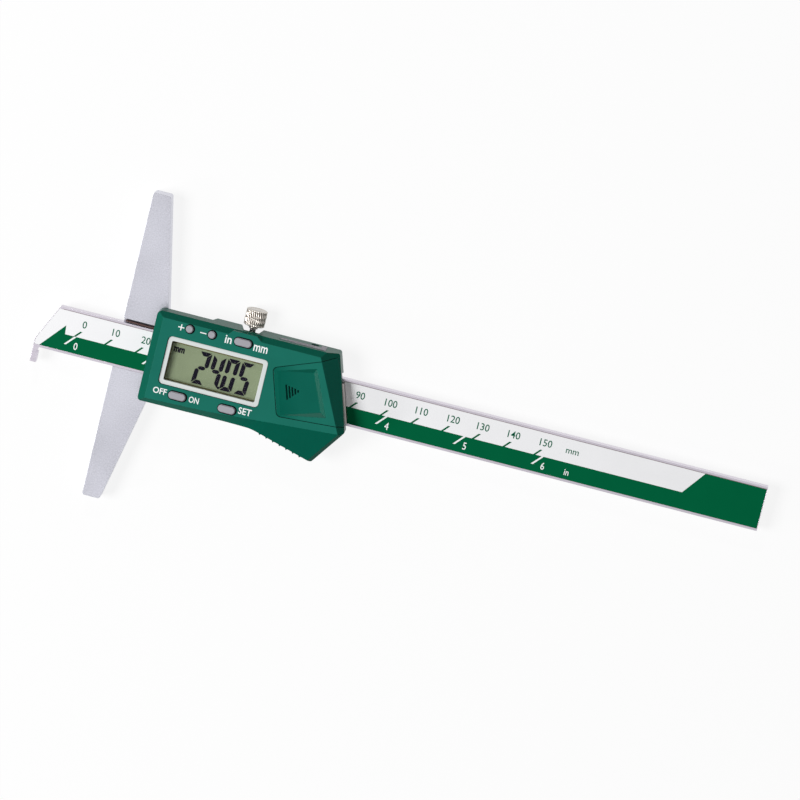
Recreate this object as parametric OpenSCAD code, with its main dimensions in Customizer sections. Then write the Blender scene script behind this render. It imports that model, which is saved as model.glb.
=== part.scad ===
// Digital depth gauge with a hook end.
// Millimetres. X runs along the beam from the hook to the tail, Y across it, Z out of the display.
// The origin lies in the plane of the measuring face, on the axis of the beam, at half the height of the base.
// The gauge lies on its back. The beam is drawn at the reading shown on the display.

/* [Base] */
// Length of the measuring face
base_length = 100; // [70:1:150]
// Height of the base and of the slider frame behind it
base_height = 6; // [5.6:0.1:7]
// Width of the base at its two ends
base_end_width = 5.8; // [4:0.1:9]
// Width of the base beside the slider
base_root_width = 13.4; // [13:0.1:16]
// Chamfer on the corners of the base's ends
base_corner = 0.5; // [0.2:0.1:1]

/* [Beam] */
// Length of the beam behind the hook's measuring pad
beam_length = 234; // [220:1:260]
// Width of the beam
beam_width = 14.5; // [14:0.1:15]
// Thickness of the beam
beam_thickness = 3.4; // [3:0.1:3.6]
// Reading at which the beam is drawn
reading = 24.05; // [20:0.05:40]
// Width of the bare steel rail on each side of the scale
rail_width = 0.75; // [0.5:0.05:1.2]
// Depth of the recess that holds the scale
scale_recess = 0.9; // [0.7:0.05:1.2]
// Thickness of the printed film on the scale
film_thickness = 0.15; // [0.1:0.05:0.2]
// Thickness of the ink on the film
ink_thickness = 0.03; // [0.02:0.01:0.05]
// Running clearance between the beam and its channel
beam_clearance = 0.05; // [0.03:0.01:0.1]

/* [Hook] */
// Width of the hook along the beam, without its pad
hook_width = 1.5; // [1.2:0.1:2.5]
// How far the measuring pad stands out of the hook
pad_height = 0.4; // [0.2:0.1:0.8]
// Length of the measuring pad
pad_length = 3.4; // [2:0.1:4]
// How far the hook reaches beyond the edge of the beam
hook_reach = 5; // [4.4:0.05:6]

/* [Scale] */
// Range of the millimetre scale
scale_range = 150; // [100:10:150]
// Distance from the pad to the scale's zero tick
scale_zero = 10.2; // [8:0.05:12]
// Lead of the inch ticks over the millimetre ticks
inch_lead = 0.35; // [0:0.05:0.6]
// Height of the border between the white and the green field, from the beam's axis
border_y = -1.14; // [-2:0.01:0]
// Width of a tick
tick_width = 0.55; // [0.2:0.05:0.6]

/* [Slider] */
// Distance from the measuring face to the housing
housing_start = 10.5; // [10:0.1:11]
// Distance from the axis to the housing's upper side
housing_top = 15.15; // [15:0.05:17]
// Distance from the axis to the housing's lower side
housing_bottom = 14.5; // [14.3:0.05:16]
// Height of the housing above the beam's front
housing_height = 8; // [7.9:0.1:10]
// Distance from the measuring face to the housing's slanted end, on the axis
end_x = 74; // [73:0.1:80]
// Slant of the housing's end, and of the battery door's slide
end_angle = 17.5; // [15:0.5:20]
// Thickness of the housing's side walls
wall = 1.4; // [1.2:0.1:1.5]
// Thickness of the housing's front
front_wall = 1.4; // [1.2:0.1:1.5]
// How far the skirt on the upper side hangs below the beam's front
skirt_drop = 4.4; // [3.5:0.1:5]
// Thickness of the steel lips that keep the beam in its channel
lip_thickness = 0.35; // [0.3:0.05:0.5]
// Thickness of the steel plate over the beam at the slider's end
plate_thickness = 0.8; // [0.6:0.1:1]
// How far that plate stands out of the housing's end
plate_proud = 0.6; // [0.4:0.05:0.7]

/* [Grip] */
// How far the finger grip reaches below the axis
grip_y = 20.75; // [19:0.05:22]
// Number of ribs on the grip
rib_count = 7; // [3:1:7]
// Distance from rib to rib along the beam
rib_pitch = 2.4; // [2:0.1:2.5]
// Height of a rib
rib_height = 0.5; // [0.3:0.1:0.8]

/* [Display] */
// Width of the display opening in the bezel
display_w = 29.6; // [26:0.1:30]
// Height of the display opening in the bezel
display_h = 12.8; // [11:0.1:13]
// Centre of the display along the beam
display_x = 32.05; // [31:0.05:33]
// Centre of the display across the beam
display_y = 0.5; // [0:0.05:0.8]
// Width of the bezel around the opening
bezel_width = 1.35; // [1:0.05:1.5]
// Depth of the bezel below the housing's front
bezel_depth = 0.4; // [0.2:0.05:0.6]
// Depth of the liquid crystal panel below the housing's front
panel_depth = 2.7; // [2.5:0.1:3]

/* [Buttons] */
// Width of every button
button_w = 2.4; // [2:0.1:2.5]
// Length of the long buttons
button_l = 5.6; // [4:0.1:6]
// Travel of every button
button_travel = 0.45; // [0.3:0.05:0.6]
// Gap around a button
button_gap = 0.2; // [0.1:0.05:0.25]
// How far a button stands out of the housing's front
button_proud = 0.3; // [0.2:0.05:0.5]

/* [Battery] */
// Diameter of the button cell
cell_d = 11.6; // [9.5:0.1:11.6]
// Height of the button cell
cell_h = 5.4; // [3.6:0.1:5.4]
// Gap around the battery door
door_gap = 0.15; // [0.1:0.05:0.25]
// Depth of the door's finger recess at its push edge
recess_depth = 1; // [0.5:0.05:1]
// Width of the recess's sloped sides for each unit of their depth
recess_slope = 1.6; // [1:0.1:1.8]

/* [Lock] */
// Distance from the measuring face to the lock screw
lock_x = 40.4; // [38:0.1:42]
// Diameter of the lock screw's knurled head
head_d = 6.76; // [5:0.02:7]
// Length of the lock screw's knurled head
head_l = 4.85; // [4:0.05:6]
// Distance from the axis to the knurled head
head_y = 16.4; // [16.2:0.1:18]
// Diameter of the lock screw's thread
thread_d = 2.5; // [2:0.1:3]
// Travel of the pressure pin from open to locked
lock_travel = 0.2; // [0.1:0.05:0.2]
// Number of teeth of the knurl
knurl_teeth = 34; // [20:1:36]

/* [Gib] */
// Gap between the beam and the channel's upper wall
gib_gap = 1.42; // [1.2:0.02:1.6]
// Thickness of the gib strip
gib_thickness = 0.44; // [0.3:0.02:0.6]
// How far the front end of the gib strip bows away from the beam
gib_bow = 0.4; // [0.2:0.05:0.45]

/* [Hidden] */

$fn = 64;
eps = 0.01;
far = 200;

steel = "#cdcdd6";
green = "#19645a";
grey = "#a5a5ab";

// Heights
back_z = -base_height / 2;
beam_front = base_height / 2;
beam_back = beam_front - beam_thickness;
beam_mid = (beam_front + beam_back) / 2;
floor_top = beam_back - beam_clearance;
lip_bottom = beam_front + beam_clearance;
frame_top = lip_bottom + lip_thickness;
front_z = beam_front + housing_height;
inner_z = front_z - front_wall;

// Across the beam
half_beam = beam_width / 2;
channel_low = -half_beam - beam_clearance;
channel_high = half_beam + gib_gap;
half_scale = half_beam - rail_width;
lip_edge = half_scale + 0.1;
seat_clearance = 0.1;

// Housing
inner_left = housing_start + wall + 0.4;
inner_top = housing_top - wall - 0.15;
inner_bottom = housing_bottom - wall;
frame_start = base_root_width - 1;
frame_low = -inner_bottom + seat_clearance;
frame_high = inner_top - 0.2;
end_tan = tan(end_angle);
end_corner_y = -8.4;
end_corner = [end_x - tan(end_angle) * end_corner_y, end_corner_y];
tip = [68.4, -grip_y];
grip_start = [50.3, -housing_bottom - 0.7];
frame_end = end_x - (wall + 0.15) / cos(end_angle);
frame_corner = end_x - 3;

// A line parallel to the housing's end: its x at a height y, at a distance off outside the end
function end_line(y, off = 0) = end_x + off / cos(end_angle) - end_tan * y;

// The points of an arc of radius r that rounds the corner p between p0 and p1
function corner(p0, p, p1, r, n) =
    let(a = (p0 - p) / norm(p0 - p), b = (p1 - p) / norm(p1 - p),
        half = acos(a * b) / 2,
        c = p + (a + b) / norm(a + b) * r / sin(half),
        s = p + a * r / tan(half) - c, e = p + b * r / tan(half) - c,
        a0 = atan2(s.y, s.x), turn = (atan2(e.y, e.x) - a0 + 540) % 360 - 180)
    r == 0 ? [p] : [for (i = [0:n]) c + r * [cos(a0 + turn * i / n), sin(a0 + turn * i / n)]];

// A polygon with each corner rounded to its own radius
function rounded(p, r, n = 6) =
    [for (i = [0:len(p) - 1])
        each corner(p[(i + len(p) - 1) % len(p)], p[i], p[(i + 1) % len(p)], r[i], n)];

module block(low, high) translate(low) cube(high - low);

module rounded_block(w, h, r, z0, z1)
    translate([0, 0, z0]) linear_extrude(z1 - z0)
        polygon(rounded([[-w, -h] / 2, [w, -h] / 2, [w, h] / 2, [-w, h] / 2], [r, r, r, r]));

// Everything on the outer side of the plane through three points, seen counterclockwise from outside
module beyond(a, b, c) {
    n = cross(b - a, c - a);
    translate(a) rotate([0, acos(n.z / norm(n)), atan2(n.y, n.x)])
        translate([-far / 2, -far / 2, 0]) cube(far);
}

// A slot with round ends along X
module slot(length, width, z0, z1) {
    reach = (length - width) / 2;
    translate([0, 0, z0]) {
        if (reach > 0) translate([-reach, -width / 2, 0]) cube([2 * reach, width, z1 - z0]);
        for (side = [-1, 1]) translate([side * reach, 0, 0]) cylinder(d = width, h = z1 - z0);
    }
}

// A cylinder along Y
module rod(x, z, y0, y1, d) translate([x, y1, z]) rotate([90, 0, 0]) cylinder(d = d, h = y1 - y0);

// Base and slider frame: one steel piece

base_taper = (base_root_width - base_end_width) / (base_length / 2 - frame_high);

function base_outline() = [
    [0, -base_length / 2 + base_corner], [base_corner, -base_length / 2],
    [base_end_width - base_corner, -base_length / 2],
    [base_end_width, -base_length / 2 + base_corner],
    [base_root_width, -frame_high], [base_root_width, frame_high],
    [base_end_width, base_length / 2 - base_corner],
    [base_end_width - base_corner, base_length / 2],
    [base_corner, base_length / 2], [0, base_length / 2 - base_corner]];

function frame_outline(x0) = [
    [x0, frame_low], [frame_corner, frame_low], [frame_end - end_tan * channel_low, channel_low],
    [frame_end - end_tan * frame_high, frame_high], [x0, frame_high]];

screw_places = [[15.2, -10.4], [15.2, 11.1], [48.3, 11.1], [66, -10.4]];
screw_d = 2;
screw_head_d = 3.8;
gib_screw_x = [22, 60.8];
gib_screw_d = 2.5;
thread_clearance = 0.03;

module base_frame() color(steel) difference() {
    union() {
        translate([0, 0, back_z]) linear_extrude(base_height) polygon(base_outline());
        translate([0, 0, back_z]) linear_extrude(frame_top - back_z)
            polygon(frame_outline(frame_start));
    }
    // The channel, the open front of it at the base, and the window for the sensor
    block([-1, channel_low, floor_top], [far, channel_high, lip_bottom]);
    block([-1, channel_low, floor_top], [frame_start, channel_high, far]);
    block([-1, -lip_edge, floor_top], [far, lip_edge, far]);
    for (p = screw_places) translate(p) screw_hole();
    for (x = gib_screw_x) rod(x, beam_mid, channel_high - 1, frame_high + 1, gib_screw_d + 2 * thread_clearance);
    rod(lock_x, beam_mid, channel_high - 1, frame_high + 1, thread_d + 2 * thread_clearance);
}

module screw_hole() {
    clear_d = screw_d + 0.2;
    translate([0, 0, back_z - 1]) cylinder(d = clear_d, h = far);
    translate([0, 0, back_z - eps]) cylinder(d1 = screw_head_d + 0.2, d2 = clear_d, h = 1.2);
}

// Gib strip: a bronze leaf that bears on the beam at the lock screw and bows away towards its ends

gib_ends = [0.8, 67];
gib_near = half_beam + 0.06;

function gib_y(x) = gib_near + gib_bow * pow((x - lock_x) / (gib_ends[0] - lock_x), 2);

module gib_strip() color("#8a6a45") {
    xs = [for (i = [0:20]) gib_ends[0] + (gib_ends[1] - gib_ends[0]) * i / 20];
    translate([0, 0, beam_back]) linear_extrude(beam_thickness - 0.1)
        polygon(concat([for (x = xs) [x, gib_y(x)]],
                       [for (i = [20:-1:0]) [xs[i], gib_y(xs[i]) + gib_thickness]]));
}

module gib_screws() color("#77777c") for (x = gib_screw_x) difference() {
    rod(x, beam_mid, gib_y(x) + gib_thickness + 0.02, frame_high - 0.4, gib_screw_d);
    translate([x - 2, frame_high - 1.1, beam_mid - 0.2]) cube([4, 2, 0.4]);
}

// Housing: the moulded shell

bevel_wall_z = front_z - 2.1;
side_z = front_z - 2.4;
tip_z = front_z - 4;

// Front edge of the lower facet, by its x
facet_turn = 33;
facet_width = 2.2;
function facet_y(x) = -housing_bottom + facet_width + (x - facet_turn) * (x < facet_turn ? 0.0312 : 0.0761);

function rib(i) =
    let(along = tip - grip_start, dir = along / norm(along), out = [dir.y, -dir.x],
        p = grip_start + dir * (0.1 + rib_pitch * i))
    [p, p + dir * 0.45 + out * rib_height, p + dir * 0.75];

function housing_outline() = concat(
    corner([housing_start, 0], [housing_start, -housing_bottom], [40, -housing_bottom], 1.2, 5),
    corner([housing_start, -housing_bottom], [47.5, -housing_bottom], grip_start, 12, 6),
    [for (i = [0:rib_count - 1]) each rib(i)],
    corner(grip_start, tip, end_corner, 0.8, 5),
    corner(tip, end_corner, [end_line(0), 0], 0.25, 3),
    corner([end_line(0), 0], [end_line(housing_top), housing_top], [0, housing_top], 0.9, 5),
    corner([40, housing_top], [housing_start, housing_top], [housing_start, 0], 1.6, 6));

// Height of the grip's plane, which falls from its front edge to the tip
grip_line = [[facet_turn, facet_y(facet_turn)], [end_x, facet_y(end_x)]];

function off_grip_line(p) =
    let(way = (grip_line[1] - grip_line[0]) / norm(grip_line[1] - grip_line[0]), d = p - grip_line[0])
    d.x * way.y - d.y * way.x;

function grip_z(p) = front_z - (front_z - tip_z) * off_grip_line(p) / off_grip_line(tip);

// The lower facet: steep below the display, a flat plane on the grip, and twisted between the two
module lower_facet() {
    foot = -housing_bottom;
    // Each point of the foot is followed by the x of the front edge's point across from it.
    // The first one lies in the plane of the facet beside the display.
    first = housing_start - 5.5;
    first_z = front_z - (front_z - side_z) * (facet_y(first) - foot) / facet_width;
    // The rows between turn it smoothly into the plane of the grip.
    rows = 9;
    low = concat([[first, foot, first_z, first]],
        [for (i = [0:rows]) let(t = i / rows, x = facet_turn + (grip_start.x - facet_turn) * t,
                                y = lookup(x, [[grip_start.x - 3.6, foot], [grip_start.x, grip_start.y]]),
                                s = max(0, 1.5 * t - 0.5), ease = s * s * (3 - 2 * s))
            [x, y, side_z + (grip_z(grip_start) - side_z) * ease, x + 3.2 * t]],
        [[end_x + 2, -grip_y - 1.9, grip_z([end_x + 2, -grip_y - 1.9]), end_x + 10]]);
    // Each line across the facet is divided, so that the twist stays smooth
    shares = [0, 0.25, 0.5, 0.75, 1, 1.6];
    n = len(low);
    m = len(shares);
    surface = [for (p = low, share = shares)
        [p[3], facet_y(p[3]), front_z] * (1 - share) + [p[0], p[1], p[2]] * share];
    sides = [for (j = [0, m - 1], i = [0:n - 1]) surface[i * m + j] + [0, 0, 8]];
    quads = concat(
        [for (i = [0:n - 2], j = [0:m - 2]) let(k = i * m + j) [k, k + 1, k + m + 1, k + m]],
        [for (i = [0:n - 2], f = let(k = i * m, e = n * m + i, o = e + n)
            [[e, e + 1, o + 1, o], [k, k + m, e + 1, e], [k + m - 1, o, o + 1, k + 2 * m - 1]]) f]);
    triangles = [for (q = quads) each [[q[0], q[1], q[2]], [q[0], q[2], q[3]]]];
    ends = [concat([n * m, n * m + n], [for (j = [m - 1:-1:0]) j]),
            concat([for (j = [0:m - 1]) (n - 1) * m + j], [n * m + 2 * n - 1, n * m + n - 1])];
    polyhedron(concat(surface, sides), concat(triangles, ends));
}

bulge = [[33.9, housing_top - 1.8], [35.2, housing_top - 0.25], [42.9, housing_top - 0.25], [44.9, housing_top - 1.8]];

// What the bevel at the slanted end takes away, or the same plane lower down
module right_bevel(lower = 0) {
    crown = end_line(-8.6) - 2.2;
    translate([0, 0, -lower])
        beyond([crown - 9.9, 11.94, front_z], [crown, -8.6, front_z], concat(end_corner, front_z - 2));
}

// The outer form of the shell and the battery door together
module housing_form() difference() {
    translate([0, 0, beam_front]) linear_extrude(front_z - beam_front) polygon(housing_outline());
    // Left, top, right and lower right bevels
    beyond([housing_start + 2.3, 0, front_z], [housing_start, 1, bevel_wall_z], [housing_start, 0, bevel_wall_z]);
    difference() {
        beyond([0, housing_top - 1.65, front_z], [0, housing_top, bevel_wall_z], [-1, housing_top, bevel_wall_z]);
        translate([0, 0, beam_front]) linear_extrude(far) polygon(concat(bulge, [[44.9, 10], [33.9, 10]]));
    }
    right_bevel();
    beyond(concat(end_corner + [-1.92, -0.9], front_z), concat(tip + [-1.3, 0.6], tip_z + 0.5),
           concat((end_corner + tip) / 2 + [0.11, 0.1], front_z - 3.1));
    lower_facet();
}

// The skirt hangs beside the frame on the upper side and round the end's upper corner
module skirt() {
    low = beam_front - skirt_drop;
    intersection() {
        translate([0, 0, low]) linear_extrude(skirt_drop + 1) difference() {
            polygon(housing_outline());
            polygon([[0, -50], [end_line(-50, -wall), -50], [end_line(inner_top, -wall), inner_top], [0, inner_top]]);
        }
        union() {
            translate([0, far / 2, 0]) rotate([90, 0, 0]) linear_extrude(far / 2)
                polygon([[27.6, beam_front], [28.6, low], [end_x, low], [end_x, beam_front + 1], [27.6, beam_front + 1]]);
        }
        translate([0, 0, low]) linear_extrude(far)
            polygon([[20, 8.9], [end_line(8.9, -wall) - 1, 8.9], [end_line(8.4), 8.4], [end_x + 5, 8.9], [end_x, 40], [20, 40]]);
    }
}

// The battery door and its bay are drawn in a frame of their own: its X is the way the door slides
door_origin = [52.15, -0.55];
door_length = (end_line(door_origin.y) - door_origin.x) * cos(end_angle);
module door_frame() translate(door_origin) rotate(end_angle) children();

door_top_angle = 3.7;
door_low_angle = -13.3;
door_high = 7.56;
door_low = -8.19;

function door_outline(gap, past) = [
    [gap, door_low + gap],
    [door_length + past, door_low + gap + tan(door_low_angle) * (door_length + past)],
    [door_length + past, door_high - gap + tan(door_top_angle) * (door_length + past)],
    [gap, door_high - gap]];

bay_low = [1.7, -7.4];
bay_high = [door_length - wall - 0.35, 6.6];
bay_floor = frame_top + 0.5;
cell_place = [10.4, -0.4];
cell_z = bay_floor + 0.15;
ledge_z = inner_z - 0.15;
end_ledge_z = front_z - 4.8;
bevel_panel = 1.8;

// The space of the door: its panel, the slanted panel under the bevel, and the end down to the plate.
// gap is 0 for the hole in the housing and the clearance for the door itself.
module door_space(gap, past) intersection() {
    door_frame() linear_extrude(far) polygon(rounded(door_outline(gap, past), [1.8, 0, 0, 1.5]));
    union() {
        block([0, -far, ledge_z + gap / 3], [far, far, far]);
        intersection() {
            right_bevel(bevel_panel - gap / 3);
            block([0, -far, end_ledge_z + gap / 3], [far, far, far]);
        }
        door_frame() block([bay_high.x - 0.1 + gap, -far, end_ledge_z + gap / 3], [far, far, far]);
    }
}

guide_z = ledge_z - 1.05;
guide_flange = 0.6;
guide_w = 0.8;

module battery_bay() door_frame() {
    block([bay_low.x, bay_low.y, bay_floor], [bay_high.x, bay_high.y, far]);
    // Grooves for the door's guides
    block([bay_low.x, bay_low.y - guide_flange - 0.05, guide_z - 0.05],
          [bay_high.x, bay_high.y + guide_flange + 0.05, guide_z + 0.55]);
}

module cradle() door_frame() translate(concat(cell_place, [bay_floor - eps])) difference() {
    cylinder(d = cell_d + 1.6, h = 3.5);
    translate([0, 0, -1]) cylinder(d = cell_d + 0.3, h = 6);
    translate([-10, -4.2, -1]) cube([10, 7, 6]);
    translate([0, -2, -1]) cube([10, 4, 6]);
}

port_bay = [[inner_left + 1, inner_top], [inner_left + 1, 7.8], [50.2, 7.8], [64.2, 12.2], [65.6, inner_top]];
side_bay = [[51.4, -12.4], [69.4, -12.4], [72.4, -8.2], [70.6, -5], [55.9, -9.7]];
side_roof = ledge_z - 1.25;
grip_pockets = [[[55, -inner_bottom - 0.7], [59, -inner_bottom - 0.7], [59, -16], [55, -15]],
                [[60.2, -inner_bottom - 0.7], [64.4, -inner_bottom - 0.7], [64.4, -17.4], [60.2, -16.3]],
                [[65.6, -inner_bottom - 0.7], [70.6, -inner_bottom - 0.7], [67.6, -18.2], [65.6, -17.7]]];
boss_d = 4.6;

// The buttons keep their places beside the ends of the display
bezel_w = display_w + 2 * bezel_width;
bezel_h = display_h + 2 * bezel_width;
bezel_gap = 0.12;
display_left = display_x - display_w / 2;
display_right = display_x + display_w / 2;
upper_row = display_y + bezel_h / 2 + 3.65;
lower_row = display_y - bezel_h / 2 - 2.7;
button_places = [[display_left + 4.45, upper_row, button_w], [display_left + 11.65, upper_row, button_w],
                 [display_right - 7.85, upper_row, button_l],
                 [display_left + 5.5, lower_row, button_l], [display_right - 7.95, lower_row - 0.15, button_l]];

// The room for the electronics
bay_end = display_x + bezel_w / 2 + 1.8;
bay_reach = inner_bottom - 0.5;

notch = [[36.6, beam_front - skirt_drop], [43.7, beam_front - skirt_drop], [42.9, 6.2], [38, 6.2]];

module housing() color(green) difference() {
    union() {
        difference() {
            union() {
                housing_form();
                skirt();
            }
            block([inner_left, -bay_reach, 0], [bay_end, inner_top, inner_z]);
            translate([0, 0, 0]) linear_extrude(side_roof) polygon(port_bay);
            translate([0, 0, 0]) linear_extrude(side_roof) polygon(side_bay);
            for (p = grip_pockets) linear_extrude(tip_z - 0.9) polygon(p);
            door_space(0, 5);
            battery_bay();
            // The frame's seat and the way for the beam
            translate([0, 0, -far]) linear_extrude(far + frame_top) polygon([
                [frame_start - seat_clearance, frame_low - seat_clearance],
                [frame_corner + 0.2, frame_low - seat_clearance],
                [frame_end + 0.1 - end_tan * channel_low, channel_low],
                [frame_end + 0.1 - end_tan * inner_top, inner_top],
                [frame_start - seat_clearance, inner_top]]);
            block([0, channel_low - 0.1, 0], [far, channel_high + 0.1, beam_front + 0.4]);
        }
        for (p = screw_places) translate([p.x, p.y, frame_top])
            cylinder(d = boss_d, h = inner_z - frame_top + 0.1);
        cradle();
    }
    for (p = screw_places) translate([p.x, p.y, 0]) cylinder(d = screw_d, h = frame_top + 4);
    for (p = button_places) translate([p.x, p.y, 0])
        slot(p[2] + 2 * button_gap, button_w + 2 * button_gap, inner_z - 1, front_z + 1);
    translate([display_x, display_y, 0])
        rounded_block(bezel_w + 2 * bezel_gap, bezel_h + 2 * bezel_gap, 1.4, inner_z - 1, front_z + 1);
    // The notch for the lock screw: right through beside the frame, a pocket in the wall above it
    translate([0, housing_top + 1, 0]) rotate([90, 0, 0]) linear_extrude(1.9) polygon(notch);
    intersection() {
        translate([0, housing_top + 1, 0]) rotate([90, 0, 0]) linear_extrude(wall + 1.2) polygon(notch);
        block([0, 0, -far], [far, far, beam_front + 0.2]);
    }
    rod(gib_screw_x[1], beam_mid + 0.2, inner_top - 1, housing_top + 1, 2.7);
    end_plate_seat();
    port_opening();
    contact_slots();
}

module end_plate_seat() door_plate(0.02);

plate_half = half_scale - 0.1;
plate_low = beam_front + 0.12;

// The end plate stands across the scale at the housing's slanted end
module door_plate(clear) translate([end_x, 0, 0]) rotate(end_angle)
    block([plate_proud - plate_thickness - clear, -plate_half - clear, plate_low - clear],
          [plate_proud, plate_half + clear, end_ledge_z - 0.05]);

module end_plate() color(steel) door_plate(0);

module housing_screws() color("#8b8b90") for (p = screw_places) translate([p.x, p.y, back_z]) difference() {
    union() {
        cylinder(d1 = screw_head_d, d2 = screw_d, h = 1);
        cylinder(d = screw_d, h = frame_top - back_z + 3.5);
    }
    translate([0, 0, -1]) for (a = [0, 90]) rotate(a) translate([-1, -0.25, 0]) cube([2, 0.5, 1.5]);
}

// Data port in the upper side wall, closed by a cover with a leg beside the gib screw

port_x = [51.2, 61.6];
port_z = [4.6, 6.2];
cover_outline = [[49.3, 5.2], [50.3, 4.1], [62.9, 3.7], [62.9, 0.2], [64.6, 0.2], [64.6, 7.4], [50.5, 6.4]];
cover_depth = 0.5;

module port_opening() {
    block([port_x[0], inner_top - 1, port_z[0]], [port_x[1], housing_top + 1, port_z[1]]);
    cover_plate(cover_depth + 0.05, 1);
}

module cover_plate(depth, proud) translate([0, housing_top + proud, 0]) rotate([90, 0, 0])
    linear_extrude(depth + proud) polygon(cover_outline);

module port_cover() color(grey) {
    difference() {
        cover_plate(cover_depth - 0.02, 0.12);
        // A thumbnail groove along the cover
        block([52, housing_top - 0.1, 5.1], [61, housing_top + 1, 5.5]);
    }
    block([port_x[0] + 0.12, inner_top + 0.2, port_z[0] + 0.12],
          [port_x[1] - 0.12, housing_top - cover_depth + 0.02, port_z[1] - 0.12]);
}

// Display

flange = 0.5;

module display_bezel() color("#dfe7eb") translate([display_x, display_y, 0]) difference() {
    union() {
        rounded_block(bezel_w, bezel_h, 1.3, inner_z - eps, front_z - bezel_depth);
        rounded_block(bezel_w + 2 * flange, bezel_h + 2 * flange, 1, front_z - panel_depth, inner_z);
    }
    rounded_block(display_w, display_h, 0.5, 0, far);
    rounded_block(display_w + 1, display_h + 1, 0.5, 0, inner_z - 0.1);
}

module display_lens() color("#eef4f4", 0.35) translate([display_x, display_y, 0])
    rounded_block(display_w + 0.9, display_h + 0.9, 0.45, inner_z - 1, inner_z - 0.12);

panel_w = bezel_w + 0.2;
panel_h = bezel_h + 0.2;
panel_thickness = 1.4;
board_z = frame_top;
board_thickness = 1;
board_top = board_z + board_thickness;

module lcd_panel() color("#8ea382") translate([display_x, display_y, front_z - panel_depth - panel_thickness]) {
    // Two panes: the rear one is longer where the connectors touch it
    translate([-panel_w / 2, -panel_h / 2, 0]) cube([panel_w, panel_h, panel_thickness / 2]);
    translate([-panel_w / 2, -panel_h / 2 + 1.2, panel_thickness / 2])
        cube([panel_w, panel_h - 2.4, panel_thickness / 2 - 0.02]);
}

module zebra_strips() color("#55565c") for (side = [-1, 1])
    translate([display_x - display_w / 2, display_y + side * (panel_h / 2 - 0.9) - 0.8, board_top])
        cube([display_w, 1.6, front_z - panel_depth - panel_thickness - board_top]);

// Circuit board and what it carries

module circuit_board() color("#2f6b45") translate([0, 0, board_z]) linear_extrude(board_thickness) difference() {
    board_end = bay_end - 0.4;
    polygon([[inner_left + 0.4, -bay_reach + 0.3], [board_end, -bay_reach + 0.3], [board_end, 8.2],
             [board_end + 1.6, 8.6], [port_x[1] - 1.1, 11.5], [port_x[1] - 1.1, inner_top - 0.3],
             [inner_left + 0.4, inner_top - 0.3]]);
    for (p = screw_places) translate(p) {
        circle(d = boss_d + 0.4);
        // Nothing of the board is left outside the bosses in its corners
        if (p.x < display_x) translate([-far / 2, p.y < 0 ? -far / 2 : 0]) square(far / 2);
    }
}

chip_d = 7;
chip_h = 0.9;

module board_parts() color("#26262b") translate([0, 0, board_top]) {
    translate([display_x, display_y, 0]) {
        cylinder(d1 = chip_d, d2 = 0.65 * chip_d, h = chip_h);
        translate([8, -2.5, 0]) cube([3.2, 1.5, chip_h]);
        translate([8, 1, 0]) cube([1.6, 0.8, 0.6]);
        translate([-9, -2, 0]) cube([1.6, 0.8, 0.6]);
        translate([-9, 1, 0]) cube([1.6, 0.8, 0.6]);
        translate([-12, -1, 0]) cube([1, 2, 0.7]);
    }
}

dome_h = 0.35;
dome_d = 2.8;

module switch_domes() color("#c9c3b0") for (p = button_places) translate([p.x, p.y, board_top])
    cylinder(d1 = dome_d, d2 = dome_d - 1, h = dome_h);

stem_z = board_top + dome_h + button_travel + 0.1;

// A button: its cap in the front, the flange that holds it in, and the stem down to its switch
module button(i) color(grey) {
    p = button_places[i];
    top = front_z + button_proud;
    translate([p.x, p.y, 0]) {
        slot(p[2], button_w, inner_z - 0.5, top - 0.2);
        slot(p[2] - 0.4, button_w - 0.4, top - 0.2 - eps, top);
        slot(p[2] + 0.8, button_w + 0.8, inner_z - 0.9, inner_z - 0.1);
        cylinder(d = 1.8, h = inner_z - 0.5);
    }
}

module trimmed_button(i) intersection() {
    button(i);
    block([0, -far, stem_z], [far, far, far]);
}

module button_plus() color(grey) trimmed_button(0);
module button_minus() color(grey) trimmed_button(1);
module button_unit() color(grey) trimmed_button(2);
module button_power() color(grey) trimmed_button(3);
module button_set() color(grey) trimmed_button(4);

// Battery, its contacts and its door

module battery_cell() color("#c8c8cc") door_frame() translate(concat(cell_place, [cell_z])) {
    cylinder(d = cell_d, h = cell_h - 0.5);
    cylinder(d = cell_d - 1.6, h = cell_h);
}

contact_t = [-3.6, 0.4];
contact_w = 1.6;
contact_thickness = 0.15;

// The ways of the two contacts through the wall between the board and the battery bay
module contact_slots() door_frame() for (t = contact_t)
    block([-4.5, t - 0.1, bay_floor], [bay_low.x + 0.5, t + contact_w + 0.1, board_top + 0.5]);

module battery_contact_minus() color("#cbb26a") door_frame() {
    t = contact_t[0];
    block([-4, t, board_top], [2.6, t + contact_w, board_top + contact_thickness]);
    block([2.6 - contact_thickness, t, bay_floor], [2.6, t + contact_w, board_top + eps]);
    block([2.6 - contact_thickness, t, bay_floor], [11, t + contact_w, bay_floor + contact_thickness]);
}

module battery_contact_plus() color("#cbb26a") door_frame() {
    t = contact_t[1];
    rim = cell_place.x - cell_d / 2;
    block([-4, t, board_top], [rim - 0.1, t + contact_w, board_top + contact_thickness]);
    block([rim - 0.1 - contact_thickness, t, board_top], [rim - 0.1, t + contact_w, cell_z + 4]);
}

module port_contacts() color("#cbb26a") for (i = [0:3])
    translate([53 + 1.7 * i, inner_top - 1.8, board_top]) {
        cube([0.8, 1.2, 0.2]);
        translate([0, 1.0, 0]) cube([0.8, 0.2, 1.2]);
    }

// The finger recess: its floor falls towards the push edge, and its other sides slope
recess_start = 1.4;
recess_length = 13.4;

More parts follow.
